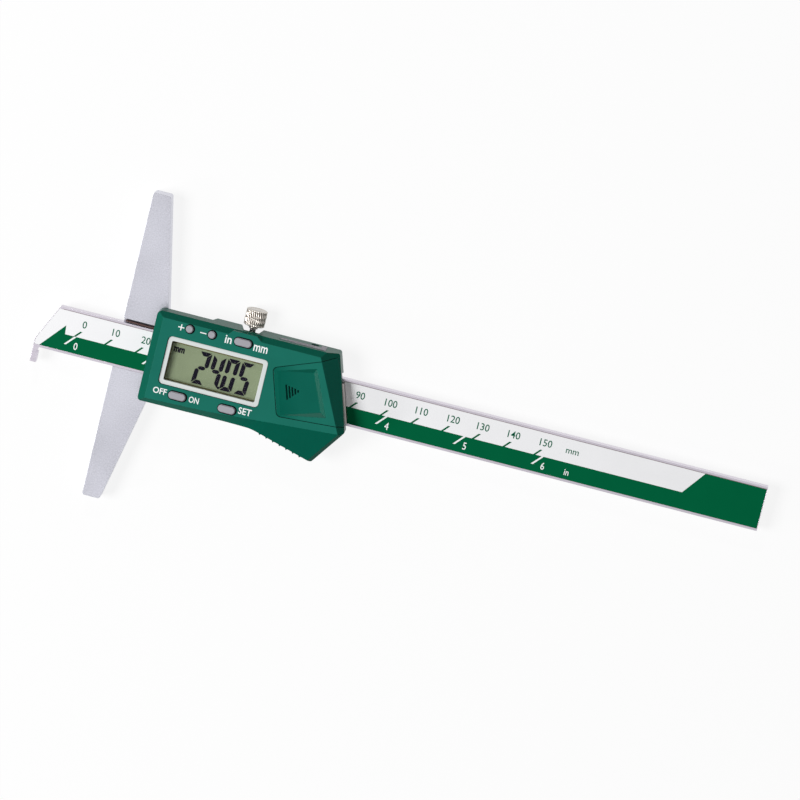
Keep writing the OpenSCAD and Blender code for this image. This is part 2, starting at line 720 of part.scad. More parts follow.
module finger_recess() intersection() {
    slope = recess_depth / recess_length;
    floor_point = [recess_start, 0, front_z];
    upper = [recess_start + recess_length - 0.8, 6.3];
    lower = [recess_start + recess_length + 0.9, -9.5];
    beyond(floor_point, floor_point + [1, 0, -slope], floor_point + [1, 1, -slope]);
    recess_side([recess_start, 6.4], upper);
    recess_side(upper, lower);
    recess_side(lower, [recess_start, -7.75]);
    block([0, -20, 0], [20, 20, front_z + 1]);
}

// The room inside a sloped side of the recess that runs clockwise from a to b on the front
module recess_side(a, b) {
    inward = [b.y - a.y, a.x - b.x] / norm(b - a);
    low = a + recess_slope * inward;
    beyond([b.x, b.y, front_z], [a.x, a.y, front_z], [low.x, low.y, front_z - 1]);
}

arrow_bars = 5;
arrow_y = -0.6;
arrow_depth = 0.4;

module battery_door() color(green) {
    difference() {
        intersection() {
            housing_form();
            door_space(door_gap, 5);
        }
        door_frame() {
            finger_recess();
            for (i = [0:arrow_bars - 1]) {
                s = 3.7 + 0.9 * i;
                half = 2.4 - 0.5 * i;
                floor_z = front_z - recess_depth * (s - recess_start) / recess_length;
                block([s, arrow_y - half, floor_z - arrow_depth], [s + 0.38, arrow_y + half, far]);
            }
        }
    }
    // Guides that run in the grooves of the bay
    difference() {
        door_frame() for (side = [0, 1]) {
            inner = side == 0 ? bay_low.y + 0.1 : bay_high.y - 0.1 - guide_w;
            block([2.4, inner, guide_z], [bay_high.x - 0.5, inner + guide_w, ledge_z + 0.1]);
            block([2.4, side == 0 ? inner - guide_flange : inner, guide_z],
                  [bay_high.x - 0.5, (side == 0 ? inner : inner + guide_flange) + guide_w, guide_z + 0.45]);
        }
        right_bevel(0.6);
    }
}

// Lock screw with a knurled head, and the pin that it presses on the gib

pin_y = gib_y(lock_x) + gib_thickness + lock_travel + 0.04;
pin_l = 1.2;

module lock_screw() color("#b1aca6") {
    translate([lock_x, head_y, beam_mid]) rotate([-90, 0, 0]) {
        cylinder(d1 = head_d - 1, d2 = head_d - 0.2, h = 0.4);
        translate([0, 0, 0.4]) linear_extrude(head_l - 0.9) polygon([
            for (i = [0:2 * knurl_teeth - 1])
                (head_d / 2 - (i % 2) * 0.2) * [cos(180 * i / knurl_teeth), sin(180 * i / knurl_teeth)]]);
        translate([0, 0, head_l - 0.5]) cylinder(d1 = head_d - 0.2, d2 = head_d - 1, h = 0.5);
    }
    rod(lock_x, beam_mid, frame_high + 0.6, head_y + eps, 2);
    rod(lock_x, beam_mid, frame_high + 1.5, frame_high + 2, 3);
    rod(lock_x, beam_mid, pin_y + pin_l + 0.03, frame_high + 0.6, thread_d);
}

module lock_pin() color("#b8a062") rod(lock_x, beam_mid, pin_y, pin_y + pin_l, thread_d - 0.02);

// Beam: drawn from the hook's pad, and moved to the reading

slant = [[3.8, half_beam], [-hook_width - pad_height, -4.6]];

module at_reading() translate([-reading, 0, 0]) children();

function beam_outline() = [
    slant[0], slant[1], [slant[1].x, -half_beam - hook_reach], [0, -half_beam - hook_reach],
    [0, -half_beam - hook_reach + pad_length], [-pad_height, -half_beam - hook_reach + pad_length],
    [-pad_height, -half_beam - 0.4], [0, -half_beam], [beam_length, -half_beam], [beam_length, half_beam]];

scale_rim = 0.15;

// Outline of the scale's recess, smaller by margin
function scale_outline(margin) =
    let(top = half_scale - margin, way = (slant[0] - slant[1]) / norm(slant[0] - slant[1]),
        inset = slant[1] + [way.y, -way.x] * (scale_rim + margin))
    [[inset.x + way.x / way.y * (top - inset.y), top], inset + way * 0.2,
     [slant[1].x + scale_rim + margin, -top], [beam_length - scale_rim - margin, -top],
     [beam_length - scale_rim - margin, top]];

stop_x = beam_length - 6;
stop_y = 3.5;
stop_d = 1.6;

module beam() color(steel) at_reading() difference() {
    translate([0, 0, beam_back]) linear_extrude(beam_thickness) polygon(beam_outline());
    translate([0, 0, beam_front - scale_recess]) linear_extrude(far) polygon(scale_outline(0));
    for (y = [-stop_y, stop_y]) translate([stop_x, y, beam_back - 1]) cylinder(d = stop_d, h = 3);
}

strip_top = beam_front - 0.05 - film_thickness;

module scale_strip() color("#3c5a3f") at_reading() translate([0, 0, beam_front - scale_recess])
    linear_extrude(strip_top - beam_front + scale_recess) polygon(scale_outline(0.03));

module scale_label() color("#f1f1f3") at_reading() translate([0, 0, strip_top])
    linear_extrude(film_thickness) polygon(scale_outline(0.03));

// A tick that leans 42 degrees, from its foot on the border up or down by dy
module tick(x, dy, width) translate([x, border_y]) multmatrix([[1, tan(42), 0, 0], [0, 1, 0, 0], [0, 0, 1, 0], [0, 0, 0, 1]])
    translate([-width / 2, min(0, dy)]) square([width, abs(dy)]);

// Ink: the green field with its arrow and end, open at the inch ticks, and the millimetre ticks above it
module scale_print() color("#00643f") at_reading() translate([0, 0, strip_top + film_thickness])
    linear_extrude(ink_thickness) {
        low = -half_scale + 0.04;
        right = beam_length - scale_rim - 0.05;
        difference() {
            polygon([[-0.1, low], [6.85, 1.7], [7.1, border_y], [208.2, border_y], [213.9, -low],
                     [right, -low], [right, low]]);
            for (i = [0:floor(scale_range / 25.4 + 0.15)]) tick(scale_zero + inch_lead + 25.4 * i, -3.1, 0.5);
        }
        for (i = [0:scale_range / 10]) translate([0, -eps]) tick(scale_zero + 10 * i, 2, tick_width);
    }

module stop_screws() color("#8b8b90") at_reading() for (y = [-stop_y, stop_y]) translate([stop_x, y, 0]) difference() {
    union() {
        translate([0, 0, beam_back]) cylinder(d = stop_d, h = 1.9);
        translate([0, 0, beam_back - 1]) cylinder(d = 2.8, h = 1);
    }
    translate([-2, -0.2, beam_back - 1.4]) cube([4, 0.4, 0.9]);
}

base_frame();
gib_strip();
gib_screws();
housing();
housing_screws();
end_plate();
display_bezel();
display_lens();
lcd_panel();
zebra_strips();
circuit_board();
board_parts();
switch_domes();
battery_cell();
battery_contact_plus();
battery_contact_minus();
port_contacts();
beam();
scale_strip();
scale_label();
scale_print();
stop_screws();
battery_door();
button_plus();
button_minus();
button_unit();
button_power();
button_set();
lock_screw();
lock_pin();
port_cover();
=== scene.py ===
"""The looks of a digital depth gauge with a hook end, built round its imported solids.

Lengths are in metres, in the frame of the solids: X runs along the beam from the hook to the tail,
Y across it and Z out of the display. Sizes of the gauge are written in millimetres, times MM.
"""

from __future__ import annotations

import logging
import math
from collections.abc import Iterable
from dataclasses import dataclass, field
from enum import Enum

import bpy
import numpy as np
from mathutils import Matrix, Vector

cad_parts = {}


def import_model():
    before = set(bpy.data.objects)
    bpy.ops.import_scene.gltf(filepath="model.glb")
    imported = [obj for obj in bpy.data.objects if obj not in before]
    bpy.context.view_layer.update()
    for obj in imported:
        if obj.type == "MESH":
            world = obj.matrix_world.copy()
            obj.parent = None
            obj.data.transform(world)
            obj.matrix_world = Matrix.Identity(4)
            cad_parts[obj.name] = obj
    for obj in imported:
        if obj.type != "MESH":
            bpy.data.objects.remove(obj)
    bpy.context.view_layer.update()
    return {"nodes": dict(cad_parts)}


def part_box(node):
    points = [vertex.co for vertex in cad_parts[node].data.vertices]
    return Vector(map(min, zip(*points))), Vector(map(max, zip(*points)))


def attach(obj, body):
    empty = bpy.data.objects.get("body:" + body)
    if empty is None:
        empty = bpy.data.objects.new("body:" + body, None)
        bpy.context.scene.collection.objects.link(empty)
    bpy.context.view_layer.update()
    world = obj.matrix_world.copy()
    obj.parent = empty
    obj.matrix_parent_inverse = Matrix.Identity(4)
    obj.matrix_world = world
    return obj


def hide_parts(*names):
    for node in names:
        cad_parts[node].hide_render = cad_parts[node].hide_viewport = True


log = logging.getLogger("depth_gauge")

MM = 0.001
INCH = 25.4
VALLEY = "valley"
DOOR_PLACE = (52.15, -0.55)
DOOR_TURN = 17.5
HOUSING_FRONT = 11.0

Colour = tuple[int, int, int]
Faces = list[tuple[int, ...]]
Outline = tuple[tuple[float, float], ...]

WHITE: Colour = (255, 255, 255)
# Share of an edge's colour that is left where the edge is painted in shade.
SHADED = 0.3


def linear(colour: Colour, gain: float = 1.0) -> tuple[float, float, float, float]:
    """Turns a colour as seen on a screen into the linear values that a shader takes.

    Args:
        colour: red, green and blue from 0 to 255.
        gain: a factor on the linear values.

    Returns:
        Linear red, green, blue and an alpha of 1.
    """
    part = np.array(colour, float) / 255.0
    low = part / 12.92
    high = ((part + 0.055) / 1.055) ** 2.4
    red, green, blue = np.clip(np.where(part <= 0.04045, low, high) * gain, 0.0, 1.0)
    return (float(red), float(green), float(blue), 1.0)


class Wiring:
    """Places nodes in one node tree and joins them."""

    def __init__(self, tree: bpy.types.NodeTree) -> None:
        """Keeps the tree that the nodes go into.

        Args:
            tree: the node tree of a material, a world or a group.
        """
        self.tree = tree

    def add(self, kind: str, sockets: dict | None = None, **settings: object) -> bpy.types.Node:
        """Adds a node.

        Args:
            kind: Blender's name of the node type.
            sockets: by input name or number, a value or the output socket that feeds it.
            settings: properties of the node itself.

        Returns:
            The new node.
        """
        node = self.tree.nodes.new(kind)
        for name, value in settings.items():
            setattr(node, name, value)
        for name, value in (sockets or {}).items():
            if isinstance(value, bpy.types.NodeSocket):
                self.tree.links.new(value, node.inputs[name])
            else:
                node.inputs[name].default_value = value
        return node

    def math(self, operation: str, first: object, second: object = 0.0) -> bpy.types.NodeSocket:
        """Adds a Math node with two inputs and returns its output."""
        return self.add("ShaderNodeMath", {0: first, 1: second}, operation=operation).outputs[0]

    def remap(self, value: object, low: float, high: float, to_low: float = 0.0,
              to_high: object = 1.0) -> bpy.types.NodeSocket:
        """Maps a value linearly and clamped from one range to another and returns the output."""
        sockets = {"Value": value, "From Min": low, "From Max": high, "To Min": to_low, "To Max": to_high}
        return self.add("ShaderNodeMapRange", sockets).outputs["Result"]

    def mix(self, share: object, first: object, second: object) -> bpy.types.NodeSocket:
        """Mixes two colours.

        Args:
            share: share of the second, as a value or an output socket.
            first: the first colour or its socket.
            second: the second colour or its socket.

        Returns:
            The output socket.
        """
        node = self.add("ShaderNodeMix", data_type="RGBA")
        for place, value in ((0, share), (6, first), (7, second)):
            if isinstance(value, bpy.types.NodeSocket):
                self.tree.links.new(value, node.inputs[place])
            else:
                node.inputs[place].default_value = value
        return node.outputs[2]


def emptied(data: bpy.types.Material | bpy.types.World) -> Wiring:
    """Empties the node tree of a new material or world.

    Args:
        data: the material or world.

    Returns:
        The wiring of its tree.
    """
    data.use_nodes = True
    data.node_tree.nodes.clear()
    return Wiring(data.node_tree)


class SharedEffects:
    """The node groups that several finishes use, each built once."""

    def __init__(self) -> None:
        """Builds the groups."""
        self.soft_edges = self._soft_edges()
        self.level = self._level()
        self.lines = self._pattern("ground_lines", (3.0, 2.0), 0.6, 0.7, 0.15)
        self.grain = self._pattern("moulded_grain", (2.0, 3.0), 0.5, 0.5, 0.12)

    @staticmethod
    def _group(name: str, inputs: dict[str, str], outputs: dict[str, str]) -> tuple:
        """Makes an empty group.

        Args:
            name: the group's name.
            inputs: socket names, each with its kind.
            outputs: socket names, each with its kind.

        Returns:
            The group, its Wiring, its input node and its output node.
        """
        group = bpy.data.node_groups.new(name, "ShaderNodeTree")
        for names, side in ((inputs, "INPUT"), (outputs, "OUTPUT")):
            for socket, kind in names.items():
                group.interface.new_socket(socket, in_out=side, socket_type="NodeSocket" + kind)
        wiring = Wiring(group)
        return group, wiring, wiring.add("NodeGroupInput"), wiring.add("NodeGroupOutput")

    def _soft_edges(self) -> bpy.types.NodeTree:
        """Rounds the normal near an edge and masks the edge.

        The mask grows with the angle between the rounded and the plain normal, from about 18 to 41 degrees,
        so it leaves out the blunt edges between slopes.

        Returns:
            The group, with Normal and Rim.
        """
        group, wiring, given, result = self._group(
            "soft_edges", {"Radius": "Float"}, {"Normal": "Vector", "Rim": "Float"})
        bevel = wiring.add("ShaderNodeBevel", {"Radius": given.outputs["Radius"]}, samples=6)
        plain = wiring.add("ShaderNodeNewGeometry")
        close = wiring.add("ShaderNodeVectorMath", {0: bevel.outputs[0], 1: plain.outputs["Normal"]},
                           operation="DOT_PRODUCT")
        rim = wiring.remap(close.outputs["Value"], 0.95, 0.75)
        group.links.new(bevel.outputs[0], result.inputs["Normal"])
        group.links.new(rim, result.inputs["Rim"])
        return group

    def _level(self) -> bpy.types.NodeTree:
        """Masks the faces that lie level, such as the front of the housing.

        The mask falls from 1 to 0 as the face's normal leans from about 2 to 5 degrees.

        Returns:
            The group, with Share.
        """
        group, wiring, _, result = self._group("level_faces", {}, {"Share": "Float"})
        normal = wiring.add("ShaderNodeNewGeometry").outputs["True Normal"]
        upward = wiring.add("ShaderNodeSeparateXYZ", {0: normal}).outputs["Z"]
        group.links.new(wiring.remap(upward, 0.9957, 0.9994), result.inputs["Share"])
        return group

    def _pattern(self, name: str, detail: tuple[float, float], roughness: float, share: float,
                 spread: float) -> bpy.types.NodeTree:
        """Draws a fine pattern and a slow mottling over it, both as noise on object coordinates.

        Stretch holds the waves per metre of the fine noise along each axis, and Cloud those of the slow one.
        Height is the fine noise. Tone is share * fine + (1 - share) * slow, widened to 0 at 0.5 - spread and
        1 at 0.5 + spread.

        Args:
            name: the group's name.
            detail: octaves of the fine noise and of the slow one.
            roughness: roughness of the fine noise.
            share: share of the fine noise in the tone.
            spread: how far the tone's noise goes to each side of its middle.

        Returns:
            The group, with Height and Tone.
        """
        group, wiring, given, result = self._group(
            name, {"Stretch": "Vector", "Cloud": "Float"}, {"Height": "Float", "Tone": "Float"})
        place = wiring.add("ShaderNodeTexCoord").outputs["Object"]
        stretched = wiring.add("ShaderNodeVectorMath", {0: place, 1: given.outputs["Stretch"]},
                               operation="MULTIPLY").outputs[0]
        fine = wiring.add("ShaderNodeTexNoise", {"Vector": stretched, "Scale": 1.0, "Detail": detail[0],
                                                 "Roughness": roughness}).outputs["Fac"]
        cloud = wiring.add("ShaderNodeTexNoise", {"Vector": place, "Scale": given.outputs["Cloud"],
                                                  "Detail": detail[1]}).outputs["Fac"]
        both = wiring.math("ADD", wiring.math("MULTIPLY", fine, share),
                           wiring.math("MULTIPLY", cloud, 1.0 - share))
        group.links.new(fine, result.inputs["Height"])
        group.links.new(wiring.remap(both, 0.5 - spread, 0.5 + spread), result.inputs["Tone"])
        return group


@dataclass(frozen=True)
class Finish:
    """A surface with a plain grain: the base of every finish.

    Attributes:
        name: name of the material.
        colour: colour as seen on a screen.
        roughness: roughness in the middle of its spread.
        specular: the shader's specular level.
        metallic: 1 for bare metal.
        spread: how far the colour varies with the pattern, as a share.
        rough_spread: how far the roughness varies with the pattern.
        depth: height of the pattern's bump in metres.
        edge: radius by which the shading rounds an edge, in metres, or 0 for a plain print.
        rim: how much lighter (or, if negative, darker) an edge is painted, as a share: a painted highlight,
            or painted shade where negative.
        fineness: the grain's waves per metre.
        cloud: waves per metre of the slow unevenness.
    """

    name: str
    colour: Colour
    roughness: float = 0.5
    specular: float = 0.4
    metallic: float = 0.0
    spread: float = 0.05
    rough_spread: float = 0.05
    depth: float = 0.002 * MM
    edge: float = 0.08 * MM
    rim: float = 0.1
    fineness: float = 6000.0
    cloud: float = 120.0

    def pattern(self, wiring: Wiring, effects: SharedEffects) -> bpy.types.Node:
        """Places the pattern of the surface.

        Args:
            wiring: the material's wiring.
            effects: the shared groups.

        Returns:
            The group node, which puts out Height and Tone, each from 0 to 1.
        """
        return wiring.add("ShaderNodeGroup", {"Stretch": (self.fineness,) * 3, "Cloud": self.cloud},
                          node_tree=effects.grain)

    def shader_values(self) -> dict[str, object]:
        """Values that are the same all over the surface, by the shader's socket."""
        return {"Metallic": self.metallic, "Specular IOR Level": self.specular}

    def body(self, wiring: Wiring, effects: SharedEffects, tone: bpy.types.NodeSocket) -> tuple:
        """Works out the surface away from its edges.

        Args:
            wiring: the material's wiring.
            effects: the shared groups, not used here.
            tone: the pattern's tone.

        Returns:
            The colour, the roughness and the strength of the pattern's bump.
        """
        colour = wiring.mix(tone, linear(self.colour, 1 - self.spread), linear(self.colour, 1 + self.spread))
        rough = wiring.remap(tone, 0.0, 1.0, self.roughness - self.rough_spread,
                             self.roughness + self.rough_spread)
        return colour, rough, 1.0

    def make(self, effects: SharedEffects) -> bpy.types.Material:
        """Builds the material.

        An edge is painted towards white by the rim's share as a painted highlight, or towards the SHADED
        colour as painted shade where the rim is negative.

        Args:
            effects: the shared groups.

        Returns:
            The material.
        """
        material = bpy.data.materials.new(self.name)
        wiring = emptied(material)
        pattern = self.pattern(wiring, effects).outputs
        colour, rough, strength = self.body(wiring, effects, pattern["Tone"])
        relief = {"Height": pattern["Height"], "Strength": strength, "Distance": self.depth}
        if self.edge:
            edges = wiring.add("ShaderNodeGroup", {"Radius": self.edge}, node_tree=effects.soft_edges)
            relief["Normal"] = edges.outputs["Normal"]
            # Painted highlight on edges with a positive rim, painted shade on edges with a negative one.
            edge_highlight_or_shade = linear(WHITE) if self.rim > 0 else linear(self.colour, SHADED)
            colour = wiring.mix(wiring.math("MULTIPLY", edges.outputs["Rim"], abs(self.rim)), colour, edge_highlight_or_shade)
        bump = wiring.add("ShaderNodeBump", relief)
        shader = wiring.add("ShaderNodeBsdfPrincipled", {
            "Base Color": colour, "Roughness": rough, "Normal": bump.outputs[0], **self.shader_values()})
        wiring.add("ShaderNodeOutputMaterial", {"Surface": shader.outputs[0]})
        material.diffuse_color = linear(self.colour)
        return material


@dataclass(frozen=True)
class MouldedShell(Finish):
    """Plastic from a mould with grain on the front and smooth slopes; the front's colour is lighter as a
    painted sheen and the slopes' colour darker as painted shade.

    Attributes:
        polished_and_shaded: colour of the slopes, darker than the front's: their own colour with painted
            shade.
        polished_roughness: their roughness.
        polished_spread: how far their colour varies with the pattern, as a share.
        polished_relief: strength of the pattern's bump on them.
    """

    polished_and_shaded: Colour = (0, 90, 70)
    polished_roughness: float = 0.3
    polished_spread: float = 0.03
    polished_relief: float = 0.15

    def grain_and_sheen(self, wiring: Wiring, level: bpy.types.NodeSocket) -> bpy.types.NodeSocket:
        """Returns the share of the grain and of the front's lighter colour with its painted sheen, which is
        that of the level faces.
        """
        return level

    def body(self, wiring: Wiring, effects: SharedEffects, tone: bpy.types.NodeSocket) -> tuple:
        """Works out the front with its grain and painted sheen and the smooth slopes with their painted
        shade, and mixes them by the level faces.

        Args:
            wiring: the material's wiring.
            effects: the shared groups.
            tone: the pattern's tone.

        Returns:
            The colour, the roughness and the strength of the pattern's bump.
        """
        colour, rough, strength = super().body(wiring, effects, tone)
        level = self.grain_and_sheen(wiring, wiring.add("ShaderNodeGroup", node_tree=effects.level).outputs["Share"])
        slope = wiring.mix(tone, linear(self.polished_and_shaded, 1 - self.polished_spread),
                           linear(self.polished_and_shaded, 1 + self.polished_spread))
        # The slopes get the darker colour as painted shade, the level front the lighter one as painted
        # sheen.
        return (wiring.mix(level, slope, colour),
                wiring.remap(level, 0.0, 1.0, self.polished_roughness, rough),
                wiring.remap(level, 0.0, 1.0, self.polished_relief, strength))


@dataclass(frozen=True)
class DoorShell(MouldedShell):
    """The shell of the battery door, rubbed smooth by fingers near its inner end.

    Attributes:
        rubbed: where the grain starts and where it is whole, from the inner end.
        kept: share of the grain that is left where it starts.
    """

    rubbed: tuple[float, float] = (1.0 * MM, 8.0 * MM)
    kept: float = 0.15

    def grain_and_sheen(self, wiring: Wiring, level: bpy.types.NodeSocket) -> bpy.types.NodeSocket:
        """Lets the grain grow over the door's length, s = x cos a + y sin a from its inner end.

        Args:
            wiring: the material's wiring.
            level: the mask of the level faces.

        Returns:
            The share of the grain.
        """
        turn = math.radians(DOOR_TURN)
        place = wiring.add("ShaderNodeTexCoord").outputs["Object"]
        way = (math.cos(turn), math.sin(turn), 0.0)
        along = wiring.add("ShaderNodeVectorMath", {0: place, 1: way}, operation="DOT_PRODUCT")
        inner_end = (DOOR_PLACE[0] * way[0] + DOOR_PLACE[1] * way[1]) * MM
        start, whole = inner_end + self.rubbed[0], inner_end + self.rubbed[1]
        grown = wiring.remap(along.outputs["Value"], start, whole, self.kept)
        return wiring.math("MULTIPLY", level, grown)


class Grind(Enum):
    """The way a grinding or turning tool went over a metal part, as the pattern's stretch per metre."""

    ALONG_X = (60.0, 9000.0, 9000.0)
    ALONG_Y = (9000.0, 60.0, 9000.0)
    ALL_ROUND = (3000.0, 3000.0, 3000.0)
    TURNED_Y = (300.0, 14000.0, 300.0)


@dataclass(frozen=True)
class GroundMetal(Finish):
    """Bare metal with the lines of its last tool.

    Attributes:
        grind: the way the lines run.
        flank_highlight: how much brighter the faces that don't lie level are painted, as a share: a painted
            highlight.
    """

    metallic: float = 1.0
    cloud: float = 40.0
    grind: Grind = Grind.ALONG_X
    flank_highlight: float = 0.0

    def pattern(self, wiring: Wiring, effects: SharedEffects) -> bpy.types.Node:
        """Places the tool's lines and returns their group node."""
        return wiring.add("ShaderNodeGroup", {"Stretch": self.grind.value, "Cloud": self.cloud},
                          node_tree=effects.lines)

    def body(self, wiring: Wiring, effects: SharedEffects, tone: bpy.types.NodeSocket) -> tuple:
        """Paints a highlight on the faces that don't lie level.

        Args:
            wiring: the material's wiring.
            effects: the shared groups.
            tone: the pattern's tone.

        Returns:
            The colour, the roughness and the strength of the pattern's bump.
        """
        colour, rough, strength = super().body(wiring, effects, tone)
        if self.flank_highlight:
            level = wiring.add("ShaderNodeGroup", node_tree=effects.level).outputs["Share"]
            # Painted highlight on the faces that don't lie level.
            colour = wiring.mix(level, linear(self.colour, 1 + self.flank_highlight), colour)
        return colour, rough, strength


@dataclass(frozen=True)
class KnurledMetal(GroundMetal):
    """Turned metal with a knurl, with painted shade in the valleys.

    Attributes:
        valley: colour at the bottom of the knurl, painted shade in its hollows.
        shaded_depths: depths of the knurl at which that colour starts and is whole, as shares.
    """

    valley: Colour = (66, 57, 51)
    shaded_depths: tuple[float, float] = (0.2, 0.65)

    def body(self, wiring: Wiring, effects: SharedEffects, tone: bpy.types.NodeSocket) -> tuple:
        """Paints shade on the metal by the depth of the knurl that the mesh carries.

        Args:
            wiring: the material's wiring.
            effects: the shared groups.
            tone: the pattern's tone.

        Returns:
            The colour, the roughness and the strength of the pattern's bump.
        """
        colour, rough, strength = super().body(wiring, effects, tone)
        depth = wiring.add("ShaderNodeAttribute", attribute_name=VALLEY).outputs["Fac"]
        valley_shade = wiring.remap(depth, *self.shaded_depths)
        return wiring.mix(valley_shade, colour, linear(self.valley)), rough, strength


@dataclass(frozen=True)
class Pane(Finish):
    """A clear moulded pane.

    Attributes:
        ior: its refractive index.
        veil: its share over what lies behind it.
    """

    ior: float = 1.45
    veil: float = 0.04

    def shader_values(self) -> dict[str, object]:
        """Adds the transmission and the thin veil of a clear pane."""
        return super().shader_values() | {"Transmission Weight": 1.0, "IOR": self.ior, "Alpha": self.veil}


class Finishes:
    """Every finish of the gauge, made once."""

    # Every rim below paints the edges: a positive rim a painted highlight, a negative rim painted shade.
    STEEL_BASE = GroundMetal("ground_steel_base", (169, 169, 177), 0.36, 0.5, spread=0.16, rough_spread=0.06,
                             depth=0.0015 * MM, edge=0.1 * MM, rim=0.2, grind=Grind.ALL_ROUND, flank_highlight=0.7)
    STEEL_BEAM = GroundMetal("ground_steel_beam", (186, 180, 190), 0.28, 0.5, spread=0.05, rough_spread=0.05,
                             depth=0.001 * MM, edge=0.08 * MM, rim=0.2, grind=Grind.ALONG_X, flank_highlight=0.4)
    STEEL_PLATE = GroundMetal("rolled_steel_plate", (148, 142, 140), 0.3, 0.5, grind=Grind.ALONG_Y)
    KNURLED = KnurledMetal("plated_knurled_steel", (214, 208, 200), 0.3, 0.5, spread=0.06, depth=0.001 * MM,
                           edge=0.03 * MM, rim=0.15, grind=Grind.TURNED_Y)
    DARK_STEEL = GroundMetal("blackened_steel", (96, 96, 100), 0.42, 0.5, grind=Grind.ALL_ROUND)
    BRONZE = GroundMetal("bronze_leaf", (79, 61, 58), 0.42, 0.5, grind=Grind.ALONG_X, spread=0.15)
    CONTACT = GroundMetal("plated_contact", (205, 178, 106), 0.28, 0.5, grind=Grind.ALL_ROUND)
    CELL = GroundMetal("drawn_cell_steel", (200, 200, 204), 0.2, 0.5, grind=Grind.ALL_ROUND)
    # In both shells the front colour carries a painted sheen and the slope colour painted shade.
    HOUSING = MouldedShell("moulded_green_plastic", (26, 111, 96), 0.5, 0.05, spread=0.06, rough_spread=0.05,
                           depth=0.003 * MM, edge=0.2 * MM, rim=0.03, polished_and_shaded=(0, 88, 71),
                           polished_roughness=0.28)
    # The door's negative rim is painted shade along the gap round it.
    DOOR = DoorShell("moulded_green_door", (26, 111, 96), 0.5, 0.05, spread=0.06, rough_spread=0.05,
                     depth=0.003 * MM, edge=0.3 * MM, rim=-0.9, polished_and_shaded=(0, 91, 75),
                     polished_roughness=0.24)
    BEZEL = Finish("moulded_pale_bezel", (222, 227, 226), 0.36, 0.3, spread=0.02, edge=0.15 * MM, rim=0.2)
    # The buttons' negative rim is painted shade round their edges.
    BUTTON = Finish("moulded_grey_button", (166, 165, 172), 0.42, 0.3, spread=0.03, edge=0.25 * MM, rim=-0.5)
    COVER = Finish("moulded_grey_cover", (150, 146, 154), 0.5, 0.2, spread=0.03, edge=0.08 * MM, rim=0.1)
    RUBBER = Finish("connector_rubber", (70, 70, 76), 0.7, 0.3)
    BOARD = Finish("green_board_laminate", (38, 92, 60), 0.45, 0.4, spread=0.12)
    CHIP = Finish("black_moulding", (34, 34, 38), 0.55, 0.4)
    STRIP = Finish("scale_laminate", (176, 150, 92), 0.5, 0.4)
    FILM = Finish("printed_white_film", (248, 248, 250), 0.45, 0.3, spread=0.01, depth=0.0006 * MM,
                  edge=0.05 * MM, rim=0.0)
    GREEN_INK = Finish("green_scale_ink", (0, 97, 60), 0.45, 0.02, spread=0.03, depth=0.0006 * MM,
                       edge=0.02 * MM, rim=0.0)
    GREEN_FIGURES = Finish("green_figure_ink", (0, 104, 74), 0.5, 0.02, spread=0.03, edge=0.0)
    WHITE_INK = Finish("white_legend_ink", (250, 252, 252), 0.5, 0.3, spread=0.02, edge=0.0)
    CRYSTAL = Finish("liquid_crystal_panel", (139, 151, 121), 0.35, 0.1, spread=0.02, depth=0.0004 * MM,
                     edge=0.05 * MM, rim=0.0)
    SEGMENT = Finish("dark_crystal_segment", (31, 29, 40), 0.5, 0.0, spread=0.02, edge=0.0)
    # The panel's seal edge together with painted shadow of the bezel.
    BORDER_AND_SHADE = Finish("crystal_border_and_shade", (112, 108, 72), 0.5, 0.0, spread=0.04, edge=0.0)
    GAP = Finish("shaded_button_gap", (8, 12, 14), 0.7, 0.02, spread=0.1, edge=0.0)
    GROOVE = Finish("shaded_film_groove", (138, 124, 128), 0.6, 0.2, spread=0.1, edge=0.0)
    # Painted shade over the grooves of the door's arrow.
    ARROW_SHADE = Finish("arrow_groove_shade", (0, 30, 24), 0.5, 0.02, spread=0.04, edge=0.0)
    LENS = Pane("clear_pane", (252, 254, 252), 0.05, 0.02, spread=0.0, rough_spread=0.01, depth=0.00005 * MM,
                edge=0.05 * MM, rim=0.0)

    NODES = {
        "base_frame": STEEL_BASE, "gib_strip": BRONZE, "gib_screws": DARK_STEEL, "housing": HOUSING,
        "housing_screws": DARK_STEEL, "end_plate": STEEL_PLATE, "display_bezel": BEZEL, "display_lens": LENS,
        "lcd_panel": CRYSTAL, "zebra_strips": RUBBER, "circuit_board": BOARD, "board_parts": CHIP,
        "switch_domes": CONTACT, "battery_cell": CELL, "battery_contact_plus": CONTACT,
        "battery_contact_minus": CONTACT, "port_contacts": CONTACT, "beam": STEEL_BEAM, "scale_strip": STRIP,
        "scale_label": FILM, "scale_print": GREEN_INK, "stop_screws": DARK_STEEL, "battery_door": DOOR,
        "button_plus": BUTTON, "button_minus": BUTTON, "button_unit": BUTTON, "button_power": BUTTON,
        "button_set": BUTTON, "lock_screw": KNURLED, "lock_pin": BRONZE, "port_cover": COVER,
    }

    def __init__(self, effects: SharedEffects) -> None:
        """Starts with no material made.

        Args:
            effects: the shared groups.
        """
        self.effects = effects
        self.made: dict[str, bpy.types.Material] = {}

    def material(self, finish: Finish) -> bpy.types.Material:
        """Makes the material of a finish the first time it is used.

        Args:
            finish: the finish.

        Returns:
            The material.
        """
        if finish.name not in self.made:
            self.made[finish.name] = finish.make(self.effects)
        return self.made[finish.name]

    def dress_nodes(self, nodes: dict[str, bpy.types.Object]) -> None:
        """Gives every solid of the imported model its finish.

        Args:
            nodes: the solids by name.
        """
        for name, solid in nodes.items():
            solid.data.materials.clear()
            solid.data.materials.append(self.material(self.NODES[name]))
            log.info("solid %s: %s", name, self.NODES[name].name)


